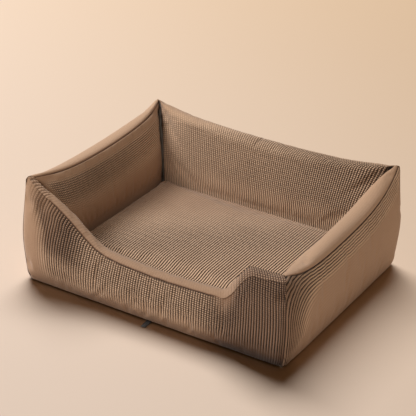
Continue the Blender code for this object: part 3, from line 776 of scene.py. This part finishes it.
def front_rule(spot):
    """Outside of the entrance wall: upright ribs, beaded in the upper half, smooth by the left corner."""
    x = spot["place"][..., 0]
    ribs = upright_ribs(spot, "front")
    upper = spot["up"] / (spot["up"] + spot["down"])
    top = smooth_step(0.62, 0.92, upper)
    rib = np.clip((spot["from_start"] - 0.030 + 0.028 * top) / 0.038, 0, 1) ** 1.5
    rib = rib * np.maximum(smooth_step(0.010, 0.042, spot["up"]), 0.8 * near(spot["from_end"], 0.040))
    rib = rib * (1 - 0.85 * near(x - RIGHT_FOLD_X, 0.020) * near(spot["down"], 0.026))
    shade = smooth_step(0.08, 0.19, x) + smooth_step(-0.13, -0.20, x) * smooth_step(0.3, 0.6, upper) * rib
    rib = rib * (0.92 + 0.08 * shade)
    rib = rib * (1 - 0.45 * smooth_step(-0.20, -0.26, x) * top)
    bead = smooth_step(0.30, 0.62, upper) * (1 - 0.7 * near(x - LEFT_PEAK_X, 0.022))
    bead = bead * (1 - 0.5 * smooth_step(0.18, 0.22, x) * (1 - smooth_step(0.7, 0.9, upper)))
    seam = near(spot["down"], SEAM_WIDTH) * sewn_band(x)
    corner = 0.75 * near(spot["from_end"], SEAM_WIDTH) * smooth_step(0.015, 0.03, spot["up"])
    # painted shade: the front is darkened a little all over, more on its right part and upper left, and at its foot
    shade = 0.13 + 0.47 * shade + 0.24 * near(spot["up"], 0.030)
    dart_and_shade = np.maximum(0.8 * dart(spot["from_end"], spot["up"]), shade)
    return ribs, spot["up"] / BEAD_PITCH, rib, bead, np.maximum(seam, corner), dart_and_shade


def band_rule(spot):
    """The smooth band, which turns ribbed where it runs out on the two shoulders."""
    x = spot["place"][..., 0]
    ribs = upright_ribs(spot, "front")
    ribbed = np.maximum(smooth_step(0.165, 0.195, x), 0.5 * smooth_step(-0.238, -0.252, x))
    rib = 0.10 + 0.90 * ribbed
    bead = 0.2 + 0.8 * ribbed
    seam = near(spot["up"], SEAM_WIDTH) * sewn_band(x) + near(spot["from_end"], SEAM_WIDTH)
    return ribs, spot["up"] / BEAD_PITCH, rib, bead, np.clip(seam, 0, 1), 0 * x


def upright_rule(side, smooth_top=0.0):
    """Outside of a wall: upright ribs, and a smooth strip of this width under the seam, paled by a painted highlight.
    """
    def rule(spot):
        ribs = upright_ribs(spot, side)
        rib = smooth_step(0.010, 0.045, np.minimum(spot["from_start"], spot["from_end"]))
        rib = rib * smooth_step(0.010, 0.042, spot["up"])
        rib = rib * smooth_step(smooth_top - 0.001, smooth_top + 0.030, spot["down"])
        bead = smooth_step(0.30, 0.62, spot["up"] / (spot["up"] + spot["down"]))
        seam = near(spot["down"], SEAM_WIDTH) * 0.8
        # painted highlight on the smooth crown strip under the seam
        painted_highlight = 0.28 * smooth_step(smooth_top + 0.020, smooth_top - 0.010, spot["down"])
        return ribs, spot["up"] / BEAD_PITCH, rib, bead, seam, -painted_highlight
    return rule


def right_outer_rule(spot):
    """Ribs at one distance after another from the corner and the top seam, joined by a soft bend."""
    corner, seam_away = spot["from_start"], spot["down"]
    soft = 0.085
    gap = np.clip(0.5 + 0.5 * (corner - seam_away) / soft, 0, 1)
    nearest = corner + (seam_away - corner) * gap - soft * gap * (1 - gap)
    ribs = nearest / (1.1 * RIB_PITCH)
    beside = (1 - gap) * smooth_step(0.02, 0.06, spot["up"])
    rib = 1 - smooth_step(0.026 + 0.022 * beside, 0.052 + 0.050 * beside, nearest)
    rib = rib * (1 - 0.25 * smooth_step(0.1, 0.3, corner))
    rib = np.maximum(rib, 0.07) * np.maximum(smooth_step(0.010, 0.042, spot["up"]), 0.8 * near(corner, 0.035))
    beads = (corner - seam_away) / BEAD_PITCH
    bead = 0.55 * (1 - smooth_step(0.06, 0.12, corner)) * (1 - smooth_step(0.02, 0.10, seam_away)) + 0.12
    seam = near(seam_away, SEAM_WIDTH) * smooth_step(0.004, 0.030, corner)
    edge = near(corner, SEAM_WIDTH) * smooth_step(0.015, 0.03, spot["up"])
    edge = np.maximum(edge, 0.5 * near(spot["from_end"], SEAM_WIDTH))
    # the Y tuck, and painted shade spread along the front right corner
    dart_and_shade = np.maximum(0.8 * dart(corner, spot["up"]), 0.52 * near(corner, 0.060))
    return ribs, beads, rib, bead, np.maximum(seam, edge), dart_and_shade


def inner_corner(spot):
    """Inside, two walls meet in a deep fold from the tip to the cushion; painted shade darkens it and a band round
    it.
    """
    ends = np.minimum(spot["from_start"], spot["from_end"])
    width = CORNER_GAP * (0.5 + 0.5 * smooth_step(0.12, 0.03, spot["up"]))
    fold_and_painted_light = near(ends, width) + 0.30 * near(ends, 0.026)
    return np.clip(fold_and_painted_light, 0, 1) * smooth_step(0.004, 0.02, spot["up"])


def back_inner_rule(spot):
    """Inside of the back wall: upright ribs, beaded above, worn on the left, with one small fold at the top."""
    ribs = upright_ribs(spot, "back")
    fall = spot["up"] / (spot["up"] + spot["down"])
    x = spot["place"][..., 0]
    left = smooth_step(0.05, -0.28, x)
    rib = np.clip((fall - 0.02 - 0.05 * left) / (0.10 + 0.10 * left), 0, 1)
    rib = rib * (1 - 0.6 * smooth_step(0.80, 0.97, fall)) * (1 - 0.35 * left) * (1 - 0.18 * near(x, 0.14))
    bead = 1 - smooth_step(0.50, 0.72, fall)
    fold_x = -0.012 - 0.05 * fall
    fold_and_painted_light = near(x - fold_x, 0.003) * smooth_step(0.06, 0.10, fall) * (1 - smooth_step(0.16, 0.28, fall))
    # painted shade in the corner folds and in the small fold at the top; the folds are also sunk in the mesh
    gap = inner_corner(spot)
    return ribs, spot["up"] / BEAD_PITCH, rib, bead, near(spot["up"], SEAM_WIDTH) * 0.6, np.maximum(0.5 * fold_and_painted_light, gap)


def side_inner_rule(from_front, strip):
    """Inside of a side wall: ribs along the seam, cells towards the front, smooth down by the seat."""
    other_end = "from_start" if from_front == "from_end" else "from_end"

    def rule(spot):
        ahead = spot[from_front]
        below = spot["up"] - strip
        rib = 0.90 * smooth_step(0.006, 0.022, below) * (1 - smooth_step(0.045, 0.110, below))
        rib = rib * smooth_step(0.0, 0.03, ahead)
        bead = 1 - smooth_step(0.15, 0.36, ahead)
        seam = near(spot["up"], SEAM_WIDTH)
        end = np.minimum(ahead, spot[other_end])
        # painted highlight on the smooth crown above the ribs
        painted_highlight = 0.22 * smooth_step(0.0, -0.012, below) * smooth_step(0.010, 0.030, end)
        ribs = below / (0.85 * RIB_PITCH)
        # the last mark: painted shade in the corner fold, and the painted highlight on the crown below 0
        return ribs, ahead / BEAD_PITCH, np.maximum(rib, 0.05), bead, seam, inner_corner(spot) - painted_highlight
    return rule


def front_inner_rule(spot):
    ribs = upright_ribs(spot, "front")
    rib = smooth_step(0.01, 0.04, spot["up"]) * smooth_step(0.01, 0.04, spot["down"])
    return ribs, spot["up"] / BEAD_PITCH, rib, 0.6 + 0 * rib, 0 * rib, 0 * rib


RULES = {
    "front_outer": front_rule, "front_band": band_rule, "front_inner": front_inner_rule,
    "back_outer": upright_rule("back", -0.040), "back_inner": back_inner_rule,
    "left_outer": upright_rule("left", 0.045), "left_inner": side_inner_rule("from_end", 0.004),
    "right_outer": right_outer_rule, "right_inner": side_inner_rule("from_start", 0.062),
}
MOST_CELLS, CELLS_PER_RIB, ROW_HEIGHT = 96000, 6, 0.0011
cloths = {}
for name, rule in RULES.items():
    columns = RIBS[PANELS[name][0]] * CELLS_PER_RIB
    rows = int(min(MOST_CELLS / columns, max(16, cloth_width[name].max() / ROW_HEIGHT)))
    finish = (CLOTH, "bed", name + "_panel", "ribbed_cloth")
    if name == "front_band":
        finish = (BINDING, "bed", "front_top_band", "smooth_binding")
    cloths[name] = hang_cloth(name + "_cloth", puffed[name], cloth_width[name], columns, rows, rule, *finish)
print("fine cloths:", {name: len(piece.data.polygons) for name, piece in cloths.items()})

# %% [markdown]
# The cushion's ribs run from front to back. They are worn smooth towards the back left, where an animal lies.
# %% The cushion's top
def cushion_rule(spot):
    x = (spot["place"][..., 0] - CUSHION_MIDDLE[0]) / CUSHION_HALF[0]
    y = (spot["place"][..., 1] - CUSHION_MIDDLE[1]) / CUSHION_HALF[1]
    ribs = upright_ribs(spot, "cushion")
    towards = (x - y) / 2
    rib = 0.40 + 0.60 * smooth_step(-0.55, 0.15, towards)
    bead = 0.75 * (1 - smooth_step(-0.1, 0.5, towards)) + 0.15
    edge = np.minimum(1 - np.abs(x), 1 - np.abs(y)) * CUSHION_HALF[1]
    # painted shade: the cushion is darkened a little all over and more towards the back left, where the walls shade
    # it
    shade = 0.36 * smooth_step(0.1, -0.6, towards) + 0.06
    return ribs, spot["up"] / BEAD_PITCH, rib, bead, 0.8 * near(edge, 0.0030), shade


cushion_top = hang_cloth("cushion_top_cloth", puffed["cushion_top"], [2 * CUSHION_HALF[1]] * 2,
                         RIBS["cushion"] * CELLS_PER_RIB, 185, cushion_rule,
                         CLOTH, "cushion", "cushion_top_panel", "ribbed_cloth")
print("cushion ribs:", RIBS["cushion"])

# %% [markdown]
# The cushion is a box cushion: under the top there is an upright border all round, an underside, a foam slab and a
# crowned layer of wadding over it. The border is one strip of grid wrapped round the rounded rectangle.
# %% The cushion's border and underside
def ring(count, half_x, half_y, radius):
    """Points round a rounded rectangle, anticlockwise from above, the last on the first."""
    turn = np.linspace(0, 8, count + 1)
    u = np.interp(turn, [0, 1, 3, 5, 7, 8], [0, 1, 1, -1, -1, 0])
    v = np.interp(turn, [0, 1, 3, 5, 7, 8], [-1, -1, 1, 1, -1, -1])
    return np.stack(rounded_plan(u, v, half_x, half_y, radius), axis=-1)


border_low, border_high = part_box("cushion_border")
border_columns, border_rows = 720, 22
plan = ring(border_columns, *CUSHION_HALF, CUSHION_CORNER) + np.array(CUSHION_MIDDLE)
heights = np.linspace(border_low.z, CUSHION_EDGE, border_rows + 1)
border = np.concatenate([np.repeat(plan[:, None], border_rows + 1, axis=1),
                         np.broadcast_to(heights[None, :, None], (border_columns + 1, border_rows + 1, 1))], axis=-1)
spot = cloth_spot(border, np.tile(heights - heights[0], (border_columns + 1, 1)))
rim = np.minimum(spot["up"], spot["down"])
rib_count, bead_count = spot["from_start"] / RIB_PITCH, spot["up"] / BEAD_PITCH
rib, bead = 0.9 * smooth_step(0.002, 0.010, rim), 0.4 + 0 * rim
lift = relief(rib_count) * (1 - 0.45 * bead * (1 - relief(bead_count)))
ribbed_sheet("cushion_border_cloth", border, RIB_DEPTH * 0.6 * rib * (1 - lift), (rib_count, bead_count),
             (rib, bead, near(rim, SEAM_WIDTH)), CLOTH, "cushion", "cushion_border", "ribbed_cloth", 0.7)
print("border height", round(border_high.z - border_low.z, 4))

# %% [markdown]
# Fillings and plain cloths are simple closed pads: a grid on top, a grid below and a bridge between their rims.
# Their finishes differ: lumpy white fibre, open-cell foam, and plain woven linings with crossed yarns.
# %% Plain finishes
def fibre_fill(name):
    """Loose white fibre: soft tufts with fine hairs over them."""
    paint = Recipe(name, Specular_IOR_Level=0.1, Sheen_Weight=0.4)
    point = paint.place()
    tufts, hairs = paint.noise(point, 0.012, 3.0), paint.noise(paint.place((1, 1, 3)), 0.0012, 5.0, 0.75)
    colour = paint.blend(hairs * 0.6 + tufts * 0.4, linear(206, 202, 194), linear(243, 241, 236))
    return paint.finish(colour, paint.range(hairs, 0.2, 0.8, 0.85, 1.0), tufts + hairs * 0.4, 0.002, 0.8)


def foam(name):
    """Open-cell foam: small round cells in a cream slab that has yellowed in patches."""
    paint = Recipe(name, Specular_IOR_Level=0.2)
    point = paint.place()
    cells = paint.add("TexVoronoi", {"feature": "F1"}, {"Vector": point, "Scale": 700.0}, output="Distance")
    patches = paint.noise(point, 0.03, 3.0)
    colour = paint.blend(paint.range(cells, 0.1, 0.7), linear(236, 221, 178), linear(186, 163, 112))
    colour = paint.blend(paint.range(patches, 0.4, 0.8, 0.0, 0.35), colour, linear(214, 190, 134))
    return paint.finish(colour, paint.range(cells, 0.0, 0.8, 0.8, 0.95), 1 - cells, 0.0006, 0.9)


def woven(name, pale, dark, yarn, gloss=0.75):
    """A plain weave of crossed yarns this far apart, with lint and paler worn patches."""
    paint = Recipe(name, Specular_IOR_Level=0.3)
    x, y, z = paint.axes(paint.add("TexCoord", output="Object"))
    warp = (x * (math.pi / yarn)).math("SINE")
    weft = ((y + z) * (math.pi / yarn)).math("SINE")
    over = (warp * weft) * 0.5 + 0.5
    lint = paint.noise(paint.place(), 0.003, 4.0, 0.7)
    wear = paint.noise(paint.place(), 0.04, 3.0)
    colour = paint.blend(over * 0.6 + lint * 0.4, dark, pale)
    colour = paint.blend(paint.range(wear, 0.5, 0.85, 0.0, 0.3), colour, pale)
    rough = paint.range(lint, 0.2, 0.8, gloss - 0.08, gloss + 0.1)
    return paint.finish(colour, rough, over + lint * 0.5, 0.0004, 0.8)


def moulded(name, body, edge, gloss, metallic=0.0, coat=0.0):
    """Moulded nylon or enamelled metal: fine grain, soft scuffs and a paler rubbed shade."""
    paint = Recipe(name, Metallic=metallic, Coat_Weight=coat)
    grain, scuffs = paint.noise(paint.place(), 0.0003, 3.0), paint.noise(paint.place((1, 3, 1)), 0.004, 4.0, 0.7)
    colour = paint.blend(paint.range(scuffs, 0.55, 0.8, 0.0, 0.6), body, edge)
    return paint.finish(colour, paint.range(scuffs, 0.3, 0.8, gloss, gloss + 0.25), grain + scuffs * 0.4, 0.0001, 0.5)


FILL, FOAM = fibre_fill("white_fill"), foam("cream_foam")
LINING = woven("lining", linear(122, 97, 76), linear(78, 58, 43), 0.0011)
GRIP = woven("grip_cloth", linear(44, 41, 39), linear(17, 16, 15), 0.0009, gloss=0.7)
TAPE = woven("black_tape", linear(38, 36, 35), linear(12, 11, 11), 0.0005, gloss=0.65)
NYLON = moulded("black_nylon", linear(20, 19, 19), linear(46, 44, 43), 0.35)
ENAMEL = moulded("black_enamel", linear(18, 17, 17), linear(70, 66, 62), 0.22, 0.3, 0.4)
PULL = moulded("black_pull", linear(22, 20, 19), linear(52, 48, 45), 0.45)
print("nine plain finishes")

# %% [markdown]
# One helper makes every closed pad. It takes two tables of places, top and bottom, lays a grid on each and joins
# the rims with the bridge operator.
# %% Closed pads
def lay_grid(shell, places):
    """A grid of faces in the bmesh, drawn through a table of places."""
    columns, rows = places.shape[0] - 1, places.shape[1] - 1
    made = bmesh.ops.create_grid(shell, x_segments=columns, y_segments=rows, size=1.0)
    for vert in made["verts"]:
        vert.co = places[round((vert.co.x + 1) / 2 * columns), round((vert.co.y + 1) / 2 * rows)]


def finish_piece(name, mesh, material, body, replaced, slot, smooth=True, fill=None):
    piece = placed(name, mesh)
    if smooth:
        mesh.shade_smooth()
        mesh.set_sharp_from_angle(angle=math.radians(50))
    return belong(piece, material, body, replaced, slot, fill)


def lump(mesh, size):
    """Push points in and out by a few slow waves, as loose stuffing does."""
    p, normal = per_vertex(mesh), per_vertex(mesh, "normal")
    wave = np.sin(p[:, 0] * 151 + 1.3) * np.sin(p[:, 1] * 173 + 0.4) * np.sin(p[:, 2] * 190 + 2.1)
    move_to(mesh, p - normal * (0.5 + 0.5 * wave)[:, None] * size)


def closed_pad(name, top, bottom, *belongings, lumps=0.0, fill=None):
    shell = bmesh.new()
    for places in (top, bottom):
        lay_grid(shell, places)
    rims = [edge for edge in shell.edges if edge.is_boundary]
    bmesh.ops.bridge_loops(shell, edges=rims)
    bmesh.ops.recalc_face_normals(shell, faces=shell.faces)
    mesh = into_mesh(shell, name)
    if lumps:
        lump(mesh, lumps)
    return finish_piece(name, mesh, *belongings, fill=fill)


def level(columns, rows, half, middle, radius, height):
    """A flat rounded rectangle of places at one height."""
    u, v = square_grid(columns, rows)
    x, y = rounded_plan(u, v, *half, radius)
    return np.stack([x + middle[0], y + middle[1], height + 0 * u], axis=-1)


def flat_pad(name, node, columns, rows, radius, material, body, slot, inset=0.0, fill=None):
    """A pad of even thickness in a fixed part's place."""
    half, middle, low, high = half_and_middle(node, inset)
    top, bottom = (level(columns, rows, half, middle, radius, height) for height in (high, low))
    return closed_pad(name, top, bottom, material, body, node, slot, fill=fill)


flat_pad("cushion_underside_cloth", "cushion_underside", 60, 46, CUSHION_CORNER, LINING, "cushion", "lining",
         fill=0.5)
flat_pad("cushion_foam_slab", "cushion_foam", 40, 30, CUSHION_CORNER, FOAM, "cushion", "cream_foam",
         inset=0.0015, fill=0.9)
half, middle, low, high = half_and_middle("cushion_wadding", 0.004)
closed_pad("cushion_wadding_layer", pad_top(half, middle, low + 0.002, high - 0.006),
           level(*PAD_CELLS, half, middle, CUSHION_CORNER, low), FILL,
           "cushion", "cushion_wadding", "white_fill", fill=0.6, lumps=0.0012)

# %% [markdown]
# Each bolster is stuffed with loose fibre. The stuffing is the skin's own profile drawn in by a few millimetres
# and closed across the bottom: a tube of grid, capped at both ends.
# %% The bolsters' stuffing
FILL_INSET = 0.0075


def drawn_in(points, depth):
    """The profile line moved inward by depth, at right angles to itself."""
    along = np.gradient(points, axis=0)
    along /= np.linalg.norm(along, axis=1, keepdims=True) + 1e-12
    return points + depth * np.stack([along[:, 1], -along[:, 0]], axis=-1)


def stuffing(side, columns, rows):
    """One bolster's filling: a closed tube just inside its skin."""
    floor_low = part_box(side + "_bolster_fill")[0].z
    tube = np.zeros((columns + 1, rows + 1, 3))
    for column in range(columns + 1):
        share = (2 * column / columns - 1) * 0.992
        line = drawn_in(profile(side, share, np.linspace(0, 3, 160)), FILL_INSET)
        line[:, 1] = np.maximum(line[:, 1], floor_low + 0.0005)
        line, _ = evenly(np.concatenate([line, line[:1]]), rows)
        rounding = fading_round(line[:, 1]) * (1 - smooth_step(0.010, 0.035, line[:, 0]))
        tube[column] = wall_points(side, share, line[:, 0], line[:, 1], rounding)
    shell = bmesh.new()
    lay_grid(shell, tube)
    bmesh.ops.remove_doubles(shell, verts=shell.verts, dist=1e-6)
    ends = [edge for edge in shell.edges if edge.is_boundary]
    bmesh.ops.holes_fill(shell, edges=ends, sides=0)
    bmesh.ops.recalc_face_normals(shell, faces=shell.faces)
    name = side + "_bolster_stuffing"
    mesh = into_mesh(shell, name)
    lump(mesh, 0.0015)
    return finish_piece(name, mesh, FILL, "bed", side + "_bolster_fill", "white_fill", fill=0.85)


for side in SIZES:
    made = stuffing(side, 90, 60)
    print(made.name, len(made.data.polygons), "faces")

# %% [markdown]
# Under the bed are two halves of black grip cloth with a zip between them, a thin wadding and a floor lining.
# Beside the zip the cloth rises into a lip that hides the tape, so the slider can run below it.
# %% The base
base_low, base_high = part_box("base_half_right")
RAMP = [(0.0085, 0.0037), (0.0170, 0.0037), (0.0300, 0.0006), (0.0320, 0.0006)]
GRIP_THICKNESS = 0.0009
BASE_EDGE, BASE_CORNER = 0.0065, 0.016
STUD_PITCH = 0.0115


def base_half(sign):
    """One half of the grip cloth, to the left for -1 and to the right for 1."""
    columns, rows = 90, 110
    outer = base_high.x - BASE_EDGE
    x = np.concatenate([np.linspace(RAMP[0][0], RAMP[2][0], 31), np.linspace(RAMP[2][0], outer, columns - 29)[1:]])
    y = np.linspace(base_low.y + BASE_EDGE, base_high.y - BASE_EDGE, rows + 1)
    over, along = np.meshgrid(x, y, indexing="ij")
    past_x = np.clip(over - (outer - BASE_CORNER), 0, None)
    past_y = np.clip(np.abs(along - MIDDLE_Y) - ((y[-1] - y[0]) / 2 - BASE_CORNER), 0, None)
    pull = corner_pull(past_x, past_y) - 1
    over = over + past_x * pull
    along = along + np.sign(along - MIDDLE_Y) * past_y * pull
    height = np.interp(over, [place for place, _ in RAMP], [z for _, z in RAMP])
    sag = 0.00025 * np.sin(over * 95 + 0.7) * np.sin(along * 83)
    low = np.stack([sign * over, along, height + sag + 0.0001], axis=-1)
    high = low + np.array([0, 0, GRIP_THICKNESS])
    side = "right" if sign > 0 else "left"
    return closed_pad(f"base_half_{side}_cloth", high, low, GRIP, "bed", f"base_half_{side}", "grip_cloth")


def repeat(piece, count, step):
    """The piece again and again, each a step on from the last."""
    rows = piece.modifiers.new("rows", "ARRAY")
    rows.use_relative_offset, rows.use_constant_offset = False, True
    rows.count, rows.constant_offset_displace = count, step


def grip_dots(sign):
    """One low rubber stud, repeated in rows by two Array modifiers."""
    stud = bmesh.new()
    bmesh.ops.create_cone(stud, cap_ends=True, segments=8, radius1=0.0014, radius2=0.0020, depth=0.0010)
    start = Vector((sign * 0.040, base_low.y + 0.022, 0.0005))
    bmesh.ops.translate(stud, verts=stud.verts, vec=start)
    side = "right" if sign > 0 else "left"
    mesh = into_mesh(stud, f"grip_dots_{side}")
    piece = finish_piece(f"base_grip_dots_{side}", mesh, PULL, "bed", None, "grip_cloth", smooth=False)
    repeat(piece, 22, (sign * STUD_PITCH, 0, 0))
    repeat(piece, 38, (0, STUD_PITCH, 0))
    return piece


for sign in (-1, 1):
    print(base_half(sign).name, grip_dots(sign).name)

# %% [markdown]
# Above the grip cloth lie a sheet of wadding, hollowed along the zip, and the well's floor lining.
# %% Wadding and floor lining
half, middle, _, high = half_and_middle("base_wadding", 0.002)
hollow = level(90, 40, half, middle, 0.012, 0.0052)
hollow[..., 2] += 0.0042 * (1 - smooth_step(0.016, 0.032, np.abs(hollow[..., 0])))
closed_pad("base_wadding_sheet", level(90, 40, half, middle, 0.012, high), hollow, FILL, "bed",
           "base_wadding", "white_fill", fill=0.4)
lining = flat_pad("floor_lining_cloth", "floor_lining", 80, 60, 0.010, LINING, "bed", "lining")
half = half_and_middle("floor_lining")[0]
print("floor lining", [round(2 * value, 3) for value in half])

# %% [markdown]
# A coil zip is a row of small nylon turns on each tape. One rounded tooth is repeated along each row, and the two
# rows are set half a pitch apart so that they mesh.
# %% The zip
TOOTH_PITCH = 0.0018


def zip_row(side, sign):
    """One row of teeth: a bevelled block, repeated."""
    low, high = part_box(f"base_zip_teeth_{side}")
    tooth = bmesh.new()
    bmesh.ops.create_cube(tooth, size=1.0)
    reach = abs(high.x - low.x) + 0.0005
    bmesh.ops.scale(tooth, verts=tooth.verts, vec=(reach, TOOTH_PITCH * 0.52, high.z - low.z))
    bmesh.ops.bevel(tooth, geom=tooth.edges[:], offset=0.0003, offset_type="OFFSET", affect="EDGES", segments=1,
                    profile=0.5, material=-1)
    inner = min(abs(low.x), abs(high.x)) - 0.0005
    start = low.y + TOOTH_PITCH * (0.45 if sign > 0 else 0.95)
    bmesh.ops.translate(tooth, verts=tooth.verts,
                        vec=(sign * (inner + reach / 2), start, (low.z + high.z) / 2))
    piece = finish_piece(f"base_zip_coil_{side}", into_mesh(tooth, "zip_row_" + side), NYLON, "bed",
                         f"base_zip_teeth_{side}", "black_nylon", smooth=False)
    repeat(piece, int((high.y - low.y - TOOTH_PITCH) / TOOTH_PITCH), (0, TOOTH_PITCH, 0))
    return piece


def tape(side):
    """A woven tape with a slight wave along its length."""
    node = f"base_zip_tape_{side}"
    half, middle, low, high = half_and_middle(node)
    top, bottom = (level(14, 260, half, middle, 0.0004, height) for height in (high, low))
    for places in (top, bottom):
        places[..., 2] += 0.00008 * np.sin(places[..., 1] * 260)
    return closed_pad(f"base_zip_woven_tape_{side}", top, bottom, TAPE, "bed", node, "black_tape")


for side, sign in (("left", -1), ("right", 1)):
    print(zip_row(side, sign).name, tape(side).name)

# %% [markdown]
# The slider, its pull and the end stops are small castings. Their fixed shapes are right, but their edges are
# knife sharp, so a copy of each is merged, cleaned of flat triangles and given a small bevel.
# %% Slider, pull and stops
def softened(node, name, radius, material, body, slot):
    """A fixed part's own shape with its sharp edges rounded."""
    cast = bmesh.new()
    cast.from_mesh(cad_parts[node].data)
    bmesh.ops.remove_doubles(cast, verts=cast.verts, dist=1e-6)
    bmesh.ops.dissolve_limit(cast, angle_limit=math.radians(3), verts=cast.verts, edges=cast.edges)
    sharp = [edge for edge in cast.edges if len(edge.link_faces) == 2 and edge.calc_face_angle(0) > math.radians(25)]
    bmesh.ops.bevel(cast, geom=sharp, offset=radius, offset_type="OFFSET", affect="EDGES", segments=2, profile=0.5,
                    material=-1, clamp_overlap=True)
    return finish_piece(name, into_mesh(cast, name), material, body, node, slot)


softened("base_zip_slider", "zip_slider_body", 0.00018, ENAMEL, "zip_slider", "black_enamel")
softened("base_zip_pull", "zip_pull_tab", 0.00030, PULL, "zip_pull", "black_pull")
for end in ("front", "back"):
    softened(f"base_zip_stop_{end}", f"zip_stop_{end}", 0.00022, ENAMEL, "bed", "black_enamel")
shown = [node for node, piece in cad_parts.items() if not piece.hide_render]
print("fixed nodes still showing:", shown)
